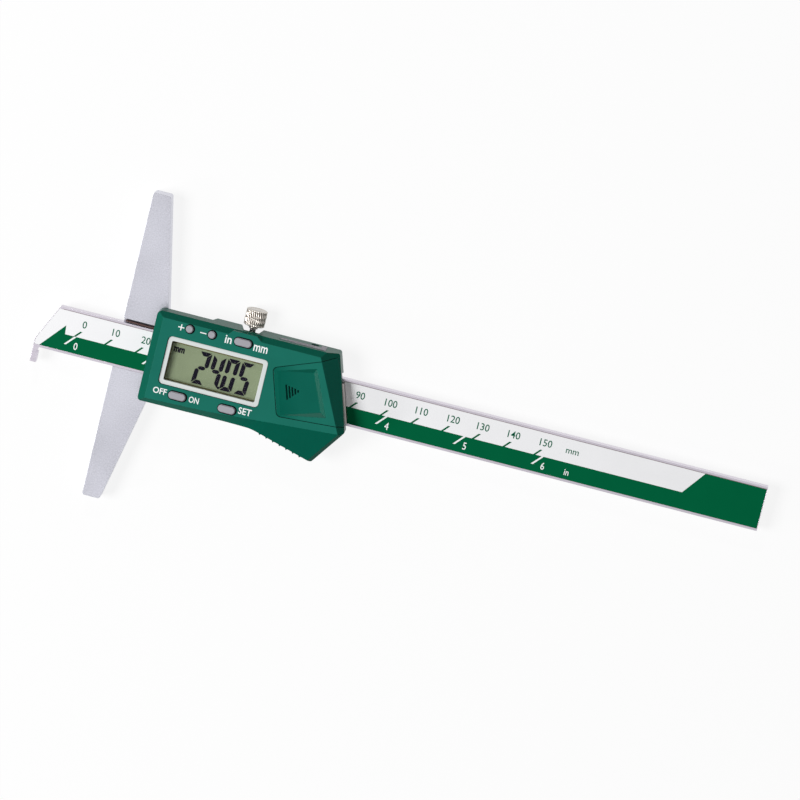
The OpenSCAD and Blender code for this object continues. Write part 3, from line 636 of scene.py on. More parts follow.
def mesh_piece(name: str, points: np.ndarray, faces: Faces, smooth: bool = False) -> bpy.types.Object:
    """Makes an object at the origin from points and faces.

    Args:
        name: name of the object.
        points: an array of shape (n, 3), in metres.
        faces: corner numbers of each face, counterclockwise from outside.
        smooth: whether the faces are shaded smooth.

    Returns:
        The object, linked to the scene.
    """
    mesh = bpy.data.meshes.new(name)
    mesh.from_pydata(points.tolist(), [], faces)
    mesh.polygons.foreach_set("use_smooth", [smooth] * len(mesh.polygons))
    mesh.update()
    piece = bpy.data.objects.new(name, mesh)
    bpy.context.scene.collection.objects.link(piece)
    return piece


class MeshHeap:
    """Gathers the points and faces of several shapes for one mesh."""

    def __init__(self) -> None:
        """Starts empty."""
        self.points: list[np.ndarray] = []
        self.faces: Faces = []
        self.count = 0

    def add(self, points: np.ndarray, faces: Faces) -> None:
        """Adds a shape.

        Args:
            points: its points, an array of shape (n, 3), in metres.
            faces: its faces, which count from its own first point.
        """
        self.points.append(points)
        self.faces.extend(tuple(corner + self.count for corner in face) for face in faces)
        self.count += len(points)

    def piece(self, name: str) -> bpy.types.Object:
        """Makes the object of everything gathered."""
        return mesh_piece(name, np.vstack(self.points), self.faces)


def plate(outline: np.ndarray, low: float, high: float) -> tuple[np.ndarray, Faces]:
    """Carries a closed outline straight up into a plate.

    Args:
        outline: an array of shape (n, 2), counterclockwise.
        low: height of its back, in the outline's unit.
        high: height of its front.

    Returns:
        Its points and faces.
    """
    count = len(outline)
    points = np.hstack([np.tile(outline, (2, 1)), np.repeat([low, high], count)[:, None]])
    here = np.arange(count)
    after = (here + 1) % count
    sides = np.stack([here, after, after + count, here + count], axis=1)
    return points, [tuple(here[::-1].tolist()), tuple((here + count).tolist()), *map(tuple, sides.tolist())]


def ring(outer: np.ndarray, inner: np.ndarray, low: float, high: float) -> tuple[np.ndarray, Faces]:
    """Carries the strip between two outlines straight up.

    Args:
        outer: an array of shape (n, 2), counterclockwise.
        inner: as many points inside it.
        low: height of its back, in the outlines' unit.
        high: height of its front.

    Returns:
        Its points and faces.
    """
    n = len(outer)
    points = np.hstack([np.vstack([outer, inner, outer, inner]), np.repeat([low, high], 2 * n)[:, None]])
    i = np.arange(n)
    j = (i + 1) % n
    sides = ((2 * n + i, 2 * n + j, 3 * n + j, 3 * n + i), (i, n + i, n + j, j),
             (i, j, 2 * n + j, 2 * n + i), (n + j, n + i, 3 * n + i, 3 * n + j))
    faces = np.stack([np.stack(side, axis=1) for side in sides], axis=1)
    return points, [tuple(face) for face in faces.reshape(-1, 4).tolist()]


def turned(grid: np.ndarray) -> tuple[np.ndarray, Faces]:
    """Joins the rings of a turned shape and closes its ends at the axis.

    Args:
        grid: an array of shape (rings, around, 3), whose first and last ring lie on the axis.

    Returns:
        Its points, ring by ring and then the two ends, and its faces.
    """
    rings, around = grid.shape[0] - 2, grid.shape[1]
    points = np.vstack([grid[1:-1].reshape(-1, 3), grid[0, :1], grid[-1, :1]])
    here = np.arange(around)
    after = (here + 1) % around
    row = around * np.arange(rings - 1)[:, None]
    quads = np.stack([row + here, row + around + here, row + around + after, row + after], axis=2)
    last = around * (rings - 1)
    low = np.stack([np.full(around, around * rings), here, after], axis=1)
    high = np.stack([np.full(around, around * rings + 1), last + after, last + here], axis=1)
    return points, [tuple(face) for part in (quads.reshape(-1, 4), low, high) for face in part.tolist()]


def rectangle(left: float, foot: float, right: float, top: float) -> np.ndarray:
    """Returns the corners of a rectangle, counterclockwise."""
    return np.array([[left, foot], [right, foot], [right, top], [left, top]])


def plates(name: str, outlines: Iterable[np.ndarray], low: float, high: float) -> bpy.types.Object:
    """Makes one piece of several outlines, each carried up into a plate.

    Args:
        name: name of the piece.
        outlines: arrays of shape (n, 2), counterclockwise, in millimetres.
        low: height of the plates' backs in millimetres.
        high: height of their fronts in millimetres.

    Returns:
        The piece.
    """
    heap = MeshHeap()
    for outline in outlines:
        heap.add(*plate(outline * MM, low * MM, high * MM))
    return heap.piece(name)


def round_corners(corners: np.ndarray, radius: float, steps: int = 4) -> np.ndarray:
    """Rounds every corner of a polygon.

    Each corner p becomes the curve (1-t)^2 a + 2t(1-t) p + t^2 b for t from 0 to 1, where a and b lie on
    the two sides at the radius from p, or at 0.45 of a side that is short.

    Args:
        corners: an array of shape (n, 2).
        radius: distance from the corner at which the curve starts.
        steps: number of intervals on each curve.

    Returns:
        An array of shape (n * (steps + 1), 2).
    """
    before = np.roll(corners, 1, axis=0) - corners
    after = np.roll(corners, -1, axis=0) - corners
    ends = []
    for side in (before, after):
        length = np.linalg.norm(side, axis=1, keepdims=True)
        ends.append(corners + side / length * np.minimum(radius, 0.45 * length))
    t = np.linspace(0.0, 1.0, steps + 1)[None, :, None]
    curve = (1 - t) ** 2 * ends[0][:, None] + 2 * t * (1 - t) * corners[:, None] + t**2 * ends[1][:, None]
    return curve.reshape(-1, 2)


@dataclass(frozen=True)
class Legend:
    """A word or number printed on the gauge.

    Attributes:
        text: what it says.
        x: its middle along the beam in millimetres.
        y: its middle across the beam in millimetres.
        height: height of its letters in millimetres.
        width: its width in millimetres, or 0 for the type's own width times the printer's stretch.
    """

    text: str
    x: float
    y: float
    height: float
    width: float = 0.0


class Printer:
    """Prints legends as thin plates of ink."""

    def __init__(self, weight: float, stretch: float = 1.0) -> None:
        """Keeps the look of the letters.

        Args:
            weight: how much bolder the letters are than the plain type.
            stretch: width of the letters against the plain type's.
        """
        self.weight = weight
        self.stretch = stretch
        self.cut: dict[str, tuple[np.ndarray, Faces]] = {}

    def letters(self, text: str) -> tuple[np.ndarray, Faces]:
        """Turns a text into a closed mesh with its middle at the origin, 1 high and 1 thick.

        Args:
            text: what it says.

        Returns:
            Its points and faces.
        """
        if text not in self.cut:
            curve = bpy.data.curves.new("type", "FONT")
            curve.body = text
            curve.extrude = 0.5
            curve.offset = self.weight
            curve.resolution_u = 3
            word = bpy.data.objects.new("type", curve)
            bpy.context.scene.collection.objects.link(word)
            bpy.context.view_layer.update()
            solved = word.evaluated_get(bpy.context.evaluated_depsgraph_get())
            mesh = bpy.data.meshes.new_from_object(solved)
            points = np.empty(len(mesh.vertices) * 3)
            mesh.vertices.foreach_get("co", points)
            points = points.reshape(-1, 3)
            faces = [tuple(face.vertices) for face in mesh.polygons]
            bpy.data.objects.remove(word)
            bpy.data.curves.remove(curve)
            bpy.data.meshes.remove(mesh)
            low, high = points.min(axis=0), points.max(axis=0)
            tall = high[1] - low[1]
            points = (points - (low + high) / 2) / np.array([tall, tall, high[2] - low[2]])
            self.cut[text] = (points, faces)
        return self.cut[text]

    def print(self, name: str, legends: list[Legend], low: float, high: float) -> bpy.types.Object:
        """Prints legends as one piece.

        Args:
            name: name of the piece.
            legends: what is printed, and where.
            low: height of the ink's back in millimetres.
            high: height of the ink's front in millimetres.

        Returns:
            The piece.
        """
        heap = MeshHeap()
        for legend in legends:
            points, faces = self.letters(legend.text)
            across = legend.height * self.stretch
            if legend.width:
                across = legend.width / np.ptp(points[:, 0])
            scale = np.array([across, legend.height, high - low])
            middle = np.array([legend.x, legend.y, (low + high) / 2])
            heap.add((points * scale + middle) * MM, faces)
        return heap.piece(name)


class Workshop:
    """Puts finished pieces on the gauge."""

    def __init__(self, finishes: Finishes) -> None:
        """Keeps the finishes."""
        self.finishes = finishes

    def fit(self, piece: bpy.types.Object, finish: Finish, body: str) -> bpy.types.Object:
        """Dresses a piece and lets it ride on a body.

        Args:
            piece: the object.
            finish: its finish.
            body: the body that it moves with.

        Returns:
            The same object.
        """
        piece.data.materials.append(self.finishes.material(finish))
        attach(piece, body)
        log.info("piece %s: %d faces on %s", piece.name, len(piece.data.polygons), body)
        return piece


@dataclass
class Studio:
    """Camera, lamps, floor and surroundings.

    Attributes:
        eye: place of the camera.
        right: the picture's right, in the gauge's frame.
        down: the picture's down.
        ahead: the way the camera looks.
        sensor: width of the camera's sensor in millimetres.
        lens: focal length in millimetres.
        near: nearest distance that the camera sees.
        aim: middle of the gauge, which the lamps face.
        key: place of the main lamp.
        key_size: side of the main lamp.
        key_level: brightness that the main lamp gives a white face towards it.
        side: place of the low lamp on the left, which lights the slopes that face it.
        side_size: side of the low lamp.
        side_level: brightness that the low lamp gives a white face towards it.
        rear: place of the small lamp behind the gauge, which puts a sheen on the slopes towards it.
        rear_size: its side.
        rear_level: brightness that it gives a white face towards it.
        surround: brightness that the surroundings give a white face.
        floor_z: height of the floor.
        floor_reach: how far it reaches to each side.
        floor_white: brightness of its paint.
        floor_glow: share of the floor's white that its shadow can't darken.
    """

    eye: Vector = field(default_factory=lambda: Vector((0.141238, 0.307376, 1.562383)))
    right: Vector = field(default_factory=lambda: Vector((0.96824594, 0.23773961, -0.07732832)))
    down: Vector = field(default_factory=lambda: Vector((0.24798647, -0.95252319, 0.17664166)))
    ahead: Vector = field(default_factory=lambda: Vector((-0.0316623, -0.19020895, -0.98123293)))
    sensor: float = 36.0
    lens: float = 226.84
    near: float = 0.05
    aim: Vector = field(default_factory=lambda: Vector((0.08, 0.0, 0.0)))
    key: Vector = field(default_factory=lambda: Vector((-1.15, -0.2, 1.5)))
    key_size: float = 0.85
    key_level: float = 0.84
    side: Vector = field(default_factory=lambda: Vector((-1.2, -0.65, 0.52)))
    side_size: float = 0.22
    side_level: float = 0.16
    rear: Vector = field(default_factory=lambda: Vector((-0.277, 1.15, 0.905)))
    rear_size: float = 0.14
    rear_level: float = 0.09
    surround: float = 0.18
    floor_z: float = -3.0 * MM
    floor_reach: float = 3.0
    floor_white: float = 0.97
    floor_glow: float = 0.86

    def build(self) -> None:
        """Sets up everything around the gauge."""
        self._camera()
        self._lamp("key", self.key, self.key_size, self.key_level)
        self._lamp("side", self.side, self.side_size, self.side_level)
        self._lamp("rear", self.rear, self.rear_size, self.rear_level)
        self._surroundings()
        self._floor()
        bpy.context.scene.view_settings.view_transform = "Standard"

    def _camera(self) -> None:
        """Places the camera as the photograph was taken."""
        data = bpy.data.cameras.new("camera")
        data.sensor_width = self.sensor
        data.lens = self.lens
        data.clip_start = self.near
        camera = bpy.data.objects.new("camera", data)
        turn = Matrix((self.right, -self.down, -self.ahead)).transposed().to_4x4()
        camera.matrix_world = Matrix.Translation(self.eye) @ turn
        bpy.context.scene.collection.objects.link(camera)
        bpy.context.scene.camera = camera

    def _lamp(self, name: str, place: Vector, size: float, level: float) -> None:
        """Adds a square lamp that faces the middle of the gauge.

        A lamp of power P at the distance d lights a white face towards it to P / (pi d)^2.

        Args:
            name: its name.
            place: its middle.
            size: its side.
            level: brightness of a white face towards it.
        """
        aim = self.aim - place
        data = bpy.data.lights.new(name, "AREA")
        data.size = size
        data.energy = level * (math.pi * aim.length) ** 2
        lamp = bpy.data.objects.new(name, data)
        lamp.location = place
        lamp.rotation_euler = aim.to_track_quat("-Z", "Y").to_euler()
        bpy.context.scene.collection.objects.link(lamp)

    @staticmethod
    def _seen(wiring: Wiring) -> bpy.types.NodeSocket:
        """Tells the rays that a viewer sees.

        Args:
            wiring: the wiring of a material or the world.

        Returns:
            1 for rays from the camera, off a gloss and through a pane, and 0 for others.
        """
        path = wiring.add("ShaderNodeLightPath").outputs
        gloss = wiring.math("MAXIMUM", path["Is Glossy Ray"], path["Is Transmission Ray"])
        return wiring.math("MAXIMUM", path["Is Camera Ray"], gloss)

    def _surroundings(self) -> None:
        """Makes the surroundings white to look at and softer as a light."""
        world = bpy.data.worlds.new("surroundings")
        wiring = emptied(world)
        soft = wiring.add("ShaderNodeBackground", {"Color": linear(WHITE), "Strength": self.surround})
        white = wiring.add("ShaderNodeBackground", {"Color": linear(WHITE), "Strength": 1.0})
        both = wiring.add("ShaderNodeMixShader",
                          {0: self._seen(wiring), 1: soft.outputs[0], 2: white.outputs[0]})
        wiring.add("ShaderNodeOutputWorld", {"Surface": both.outputs[0]})
        bpy.context.scene.world = world

    def _floor(self) -> None:
        """Lays the pale floor, which keeps a soft shadow of the gauge."""
        reach = self.floor_reach
        points = np.insert(rectangle(-reach, -reach, reach, reach), 2, self.floor_z, axis=1)
        floor = mesh_piece("floor", points, [(0, 1, 2, 3)])
        material = bpy.data.materials.new("pale_floor")
        wiring = emptied(material)
        matt = wiring.add("ShaderNodeBsdfDiffuse", {"Color": (*[self.floor_white] * 3, 1.0)})
        glow = wiring.add("ShaderNodeEmission", {"Color": linear(WHITE), "Strength": 1.0})
        share = wiring.math("MULTIPLY", self._seen(wiring), self.floor_glow)
        both = wiring.add("ShaderNodeMixShader", {0: share, 1: matt.outputs[0], 2: glow.outputs[0]})
        wiring.add("ShaderNodeOutputMaterial", {"Surface": both.outputs[0]})
        floor.data.materials.append(material)


@dataclass
class BeamScale:
    """The two scales on the beam and the groove above its film, in millimetres.

    Attributes:
        zero: where the numbers of both scales count from.
        tick_zero: where the millimetre scale's zero tick stands on the border.
        inch_lead: how far the inch scale's zero tick stands further along.
        figure: height of a figure.
        mm_type: weight and stretch of the millimetre figures.
        mm_shift: from where it counts to the middle of a millimetre number along the beam.
        mm_y: middle of the millimetre numbers across the beam.
        mm_unit: the word behind them.
        inch_type: weight and stretch of the inch figures.
        inch_shift: the same distance for the inch numbers.
        inch_y: middle of the inch numbers across the beam.
        inch_unit: the word behind them.
        late: numbers that stand a little further along, each with its distance.
        border: the border between the white and the green field across the beam.
        lean: slant of the ticks in degrees.
        tick: width of a millimetre tick along the beam.
        tick_reach: how far it reaches up from the border.
        inch_tick: width of an inch tick along the beam.
        inch_reach: how far it reaches down from the border.
        tick_ink: how far a tick's back and front lie above the green ink.
        groove: left, foot, right and top of the shaded groove above the film.
        groove_heights: heights of the shade's back and front.
        film_top: height of the white film's front.
        ink_top: height of the green ink's front.
        figure_ink: how far a figure's back and front lie above what it is printed on.
    """

    zero: float = -13.6
    tick_zero: float = -13.85
    inch_lead: float = 0.35
    figure: float = 2.35
    mm_type: tuple[float, float] = (0.006, 0.93)
    mm_shift: float = 2.1
    mm_y: float = 3.3
    mm_unit: Legend = Legend("mm", 147.6, 2.55, 1.35, 4.1)
    inch_type: tuple[float, float] = (0.008, 0.82)
    inch_shift: float = 0.78
    inch_y: float = -4.13
    inch_unit: Legend = Legend("in", 147.35, -4.2, 1.9)
    late: dict[int, float] = field(default_factory=lambda: {10: 0.3, 120: 0.35, 150: 0.4})
    border: float = -1.14
    lean: float = 42.0
    tick: float = 0.72
    tick_reach: float = 2.0
    inch_tick: float = 0.7
    inch_reach: float = 3.1
    tick_ink: tuple[float, float] = (-0.01, 0.012)
    groove: tuple[float, float, float, float] = (-19.4, 6.48, 209.7, 6.66)
    groove_heights: tuple[float, float] = (2.8, 3.005)
    film_top: float = 2.95
    ink_top: float = 2.98
    figure_ink: tuple[float, float] = (-0.02, 0.03)

    def ticks(self, name: str, starts: list[float], width: float, low: float,
              high: float) -> bpy.types.Object:
        """Prints slanting ticks.

        A tick at the height y stands at x = start + (y - border) tan(lean).

        Args:
            name: name of the piece.
            starts: where the ticks stand on the border.
            width: their width along the beam.
            low: their lower end, from the border.
            high: their upper end, from the border.

        Returns:
            The piece.
        """
        tick = rectangle(-width / 2, low, width / 2, high)
        tick[:, 0] += tick[:, 1] * math.tan(math.radians(self.lean))
        back, front = self.tick_ink
        outlines = [tick + (start, self.border) for start in starts]
        return plates(name, outlines, self.ink_top + back, self.ink_top + front)

    def figures(self, name: str, printer: Printer, legends: list[Legend], top: float) -> bpy.types.Object:
        """Prints figures on a field whose front lies at the height top, and returns the piece."""
        back, front = self.figure_ink
        return printer.print(name, legends, top + back, top + front)

    def build(self, workshop: Workshop) -> None:
        """Prints the figures and the ticks of both scales and shades the groove.

        Args:
            workshop: fits the pieces.
        """
        tens, inches = range(0, 151, 10), range(7)
        green = [Legend(str(mark), self.zero + mark + self.mm_shift + self.late.get(mark, 0.0), self.mm_y,
                        self.figure) for mark in tens]
        printer = Printer(*self.mm_type)
        piece = self.figures("green_figures", printer, [*green, self.mm_unit], self.film_top)
        workshop.fit(piece, Finishes.GREEN_FIGURES, "beam")
        white = [Legend(str(mark), self.zero + INCH * mark + self.inch_shift, self.inch_y, self.figure)
                 for mark in inches]
        printer = Printer(*self.inch_type)
        piece = self.figures("white_figures", printer, [*white, self.inch_unit], self.ink_top)
        workshop.fit(piece, Finishes.WHITE_INK, "beam")
        piece = plates("film_groove", [rectangle(*self.groove)], *self.groove_heights)
        workshop.fit(piece, Finishes.GROOVE, "beam")
        marks = [self.tick_zero + mark for mark in tens]
        piece = self.ticks("green_ticks", marks, self.tick, 0.0, self.tick_reach)
        workshop.fit(piece, Finishes.GREEN_INK, "beam")
        marks = [self.tick_zero + self.inch_lead + INCH * mark for mark in inches]
        piece = self.ticks("white_ticks", marks, self.inch_tick, -self.inch_reach, 0.0)
        workshop.fit(piece, Finishes.WHITE_INK, "beam")


@dataclass
class HousingLegends:
    """The white words and signs beside the buttons, in millimetres.

    Attributes:
        front: height of the housing's front.
        ink: how far the ink's back and front lie above it.
        weight: weight of the words.
        words: the words, each with its place.
        sign_length: length of a sign's bars.
        sign_width: their width.
        plus: middle of the plus sign.
        minus: middle of the minus sign.
    """

    front: float = HOUSING_FRONT
    ink: tuple[float, float] = (-0.03, 0.02)
    weight: float = 0.016
    words: tuple[Legend, ...] = (
        Legend("in", 34.35, 11.8, 2.55, 2.15),
        Legend("mm", 44.85, 11.3, 2.05, 4.5),
        Legend("OFF", 17.1, -9.6, 2.0, 4.4),
        Legend("ON", 28.2, -9.85, 2.0, 3.2),
        Legend("SET", 44.7, -9.35, 2.2, 4.2),
    )
    sign_length: float = 2.0
    sign_width: float = 0.33
    plus: tuple[float, float] = (19.0, 11.8)
    minus: tuple[float, float] = (26.15, 11.75)

    def build(self, workshop: Workshop) -> None:
        """Prints the words and the two signs.

        Args:
            workshop: fits the pieces.
        """
        low, high = self.front + self.ink[0], self.front + self.ink[1]
        words = Printer(self.weight).print("white_words", list(self.words), low, high)
        workshop.fit(words, Finishes.WHITE_INK, "slider")
        reach, half = self.sign_length / 2, self.sign_width / 2
        arm = np.array([[half, -half], [reach, -half], [reach, half]])
        quarter = np.array([[0.0, 1.0], [-1.0, 0.0]])
        cross = np.vstack([arm @ np.linalg.matrix_power(quarter, turn) for turn in range(4)])
        bar = rectangle(-reach, -half, reach, half)
        signs = plates("white_signs", [cross + self.plus, bar + self.minus], low, high)
        workshop.fit(signs, Finishes.WHITE_INK, "slider")


@dataclass
class ButtonGaps:
    """The shaded gaps round the buttons, in millimetres.

    Attributes:
        buttons: the buttons' solids.
        foot: how far a button's foot stands out beyond its top.
        clear: how far the dark ring keeps from a button.
        reach: how far it reaches from the button.
        shade: how far the ring's outer side lies towards the shade.
        front: height of the housing's front.
        ring: how far the ring's back and front lie above it.
    """

    buttons: tuple[str, ...] = ("button_plus", "button_minus", "button_unit", "button_power", "button_set")
    foot: float = 0.4
    clear: float = 0.05
    reach: float = 0.38
    shade: tuple[float, float] = (0.16, 0.04)
    front: float = HOUSING_FRONT
    ring: tuple[float, float] = (-0.6, 0.01)

    def outline(self, button: str, grow: float) -> np.ndarray:
        """Works out the slot round a button's top.

        Its points are middle +- (half - r) + r (cos a, sin a), with r half the slot's width.

        Args:
            button: the button's solid.
            grow: how far the outline keeps outside the button.

        Returns:
            An array of shape (32, 2) in metres.
        """
        low, high = (np.array(corner)[:2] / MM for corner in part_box(button))
        middle, half = (low + high) / 2, (high - low) / 2 - self.foot + grow
        turn = np.linspace(-math.pi / 2, math.pi / 2, 16)
        arc = half[1] * np.stack([np.cos(turn), np.sin(turn)], axis=1) + (half[0] - half[1], 0.0)
        return (np.vstack([arc, -arc]) + middle) * MM

    def build(self, workshop: Workshop) -> None:
        """Lays a ring of painted shade in every gap, which reaches onto the front round the button and lies
        further towards the shade.

        Args:
            workshop: fits the piece.
        """
        heap = MeshHeap()
        for button in self.buttons:
            outer = self.outline(button, self.reach) + np.array(self.shade) * MM
            inner = self.outline(button, self.clear)
            heap.add(*ring(outer, inner, (self.front + self.ring[0]) * MM, (self.front + self.ring[1]) * MM))
        workshop.fit(heap.piece("button_gaps"), Finishes.GAP, "slider")


class Segment(Enum):
    """The seven segments of a digit. The value is its corners as (across, up, stroke across, stroke up).

    Across and up are shares of the digit's width and half height, and the last two count strokes.
    """

    TOP = ((0, 2, 0.15, 0), (0, 2, 0.95, -1), (1, 2, -0.95, -1), (1, 2, -0.15, 0))
    UPPER_RIGHT = ((1, 2, 0, -0.15), (1, 2, -1, -1.1), (1, 1, -1, 0.62), (1, 1, -0.55, 0.2), (1, 1, 0, 0.5))
    LOWER_RIGHT = ((1, 1, 0, -0.5), (1, 1, -0.55, -0.2), (1, 1, -1, -0.62), (1, 0, -1, 1.1), (1, 0, 0, 0.15))
    BOTTOM = ((0, 0, 0.95, 1), (0, 0, 0.15, 0), (1, 0, -0.15, 0), (1, 0, -0.95, 1))
    LOWER_LEFT = ((0, 0, 0, 0.15), (0, 0, 1, 1.1), (0, 1, 1, -0.62), (0, 1, 0.55, -0.2), (0, 1, 0, -0.5))
    UPPER_LEFT = ((0, 1, 0, 0.5), (0, 1, 0.55, 0.2), (0, 1, 1, 0.62), (0, 2, 1, -1.1), (0, 2, 0, -0.15))
    MIDDLE = ((0, 1, 0.5, 0), (0, 1, 0.95, -0.45), (1, 1, -0.95, -0.45), (1, 1, -0.5, 0),
              (1, 1, -0.95, 0.45), (0, 1, 0.95, 0.45))


LIT = {
    "0": (Segment.TOP, Segment.UPPER_RIGHT, Segment.LOWER_RIGHT, Segment.BOTTOM, Segment.LOWER_LEFT,
          Segment.UPPER_LEFT),
    "2": (Segment.TOP, Segment.UPPER_RIGHT, Segment.MIDDLE, Segment.LOWER_LEFT, Segment.BOTTOM),
    "4": (Segment.UPPER_LEFT, Segment.UPPER_RIGHT, Segment.MIDDLE, Segment.LOWER_RIGHT),
    "5": (Segment.TOP, Segment.UPPER_LEFT, Segment.MIDDLE, Segment.LOWER_RIGHT, Segment.BOTTOM),
}


@dataclass
class DisplayReading:
    """The dark segments on the liquid crystal panel, in millimetres.

    Attributes:
        digits: the digits shown.
        left: left side of the first digit at its half height.
        low: foot of the digits.
        pitch: from digit to digit.
        width: width of a digit.
        height: height of a digit.
        stroke: width of a segment.
        rounding: how far the rounding of a segment's corner reaches.
        lean: slant in degrees.
        point: middle of the decimal point.
        point_radius: its radius.
        unit: the unit before the digits.
        unit_weight: weight of its letters.
        panel: height of the panel's front.
        ink: how far a segment's back and front lie above it.
        window: left, foot, right and top of the opening over the panel.
        margin: how far the dark border, partly the panel's seal edge and partly painted shadow of the bezel,
            reaches under the bezel.
        border: width of the border at the left, the foot, the right and the top, with the margin.
        border_front: how far its front lies above the panel.
    """

    digits: str = "2405"
    left: float = 26.05
    low: float = -5.1
    pitch: float = 4.6
    width: float = 3.95
    height: float = 10.6
    stroke: float = 1.35
    rounding: float = 0.3
    lean: float = 4.5
    point: tuple[float, float] = (34.55, -4.6)
    point_radius: float = 0.42
    unit: Legend = Legend("mm", 19.85, 4.1, 1.7, 3.5)
    unit_weight: float = 0.05
    panel: float = 8.28
    ink: tuple[float, float] = (-0.02, 0.04)
    window: tuple[float, float, float, float] = (17.25, -5.9, 46.85, 6.9)
    margin: float = 0.2
    border: tuple[float, float, float, float] = (0.5, 0.4, 0.35, 1.0)
    border_front: float = 0.03

    def segment(self, segment: Segment, left: float) -> np.ndarray:
        """Works out the outline of one segment.

        Its corners are shares of the digit plus strokes, moved sideways by the slant times the height
        over the digit's middle.

        Args:
            segment: which one.
            left: left side of its digit.

        Returns:
            An array of shape (n, 2).
        """
        share = np.array(segment.value, float)
        x = left + share[:, 0] * self.width + share[:, 2] * self.stroke
        y = self.low + share[:, 1] * self.height / 2 + share[:, 3] * self.stroke
        x = x + (y - self.low - self.height / 2) * math.tan(math.radians(self.lean))
        return round_corners(np.stack([x, y], axis=1), self.rounding, 3)

    def bars(self) -> list[np.ndarray]:
        """Works out the dark border round the panel, partly its own seal edge and partly painted shadow of
        the bezel, widest at the top.

        Returns:
            The outlines of its bars at the foot, the top, the left and the right.
        """
        left, foot, right, top = np.array(self.window) + self.margin * np.array([-1, -1, 1, 1])
        inner_left, inner_foot = left + self.border[0], foot + self.border[1]
        inner_right, inner_top = right - self.border[2], top - self.border[3]
        return [rectangle(left, foot, right, inner_foot), rectangle(left, inner_top, right, top),
                rectangle(left, inner_foot, inner_left, inner_top),
                rectangle(inner_right, inner_foot, right, inner_top)]

    def build(self, workshop: Workshop) -> None:
        """Makes the digits, the point, the unit and the dark border of the panel, which is partly painted
        shadow of the bezel.

        Args:
            workshop: fits the pieces.
        """
        low, high = self.panel + self.ink[0], self.panel + self.ink[1]
        outlines = [self.segment(segment, self.left + place * self.pitch)
                    for place, digit in enumerate(self.digits) for segment in LIT[digit]]
        turn = np.linspace(0.0, 2 * math.pi, 20, endpoint=False)
        outlines.append(self.point + self.point_radius * np.stack([np.cos(turn), np.sin(turn)], axis=1))
        workshop.fit(plates("display_digits", outlines, low, high), Finishes.SEGMENT, "slider")
        unit = Printer(self.unit_weight).print("display_unit", [self.unit], low, high)
        workshop.fit(unit, Finishes.SEGMENT, "slider")
        border = plates("display_border_and_shade", self.bars(), low, self.panel + self.border_front)
        workshop.fit(border, Finishes.BORDER_AND_SHADE, "slider")


@dataclass
class DoorArrow:
    """Painted shade over the grooves of the bars on the battery door, which point where it slides, in
    millimetres in the door's frame.

    Attributes:
        place: origin of the door's frame.
        turn: angle of the door's frame in degrees.
        bars: number of bars.
        first: left side of the first bar.
        pitch: from bar to bar.
        width: width of a bar.
        tip: where the triangle round the bars ends.
        blunt: shortest distance from it at which a bar ends.
        half: half of its height at the first bar.
        middle: its middle line.
        front: height of the housing's front.
        recess_start: where the finger recess begins.
        fall: how far its floor falls over a millimetre.
        shade_plate: how far the back and front of the painted shade lie above that floor.
    """

    place: tuple[float, float] = DOOR_PLACE
    turn: float = DOOR_TURN
    bars: int = 5
    first: float = 3.64
    pitch: float = 0.9
    width: float = 0.5
    tip: float = 8.1
    blunt: float = 0.15
    half: float = 2.45
    middle: float = -0.6
    front: float = HOUSING_FRONT
    recess_start: float = 1.4
    fall: float = 1 / 13.4
    shade_plate: tuple[float, float] = (-0.06, 0.015)

    def build(self, workshop: Workshop) -> None:
        """Lays the painted shade of each bar on the recess floor, z = front - fall (s - start), with ends
        along the triangle.

        Args:
            workshop: fits the piece.
        """
        turn = math.radians(self.turn)
        along = np.array([math.cos(turn), math.sin(turn)])
        across = np.array([-math.sin(turn), math.cos(turn)])
        heap = MeshHeap()
        for bar in range(self.bars):
            ends = self.first + self.pitch * bar + np.array([0.0, self.width])
            reach = self.half * np.maximum(self.tip - ends, self.blunt) / (self.tip - self.first)
            s = np.array([ends[0], ends[1], ends[1], ends[0]])
            t = self.middle + np.array([-reach[0], -reach[1], reach[1], reach[0]])
            outline = np.array(self.place) + s[:, None] * along + t[:, None] * across
            points, faces = plate(outline, *self.shade_plate)
            points[:, 2] += np.tile(self.front - self.fall * (s - self.recess_start), 2)
            heap.add(points * MM, faces)
        workshop.fit(heap.piece("door_arrow"), Finishes.ARROW_SHADE, "battery_door")


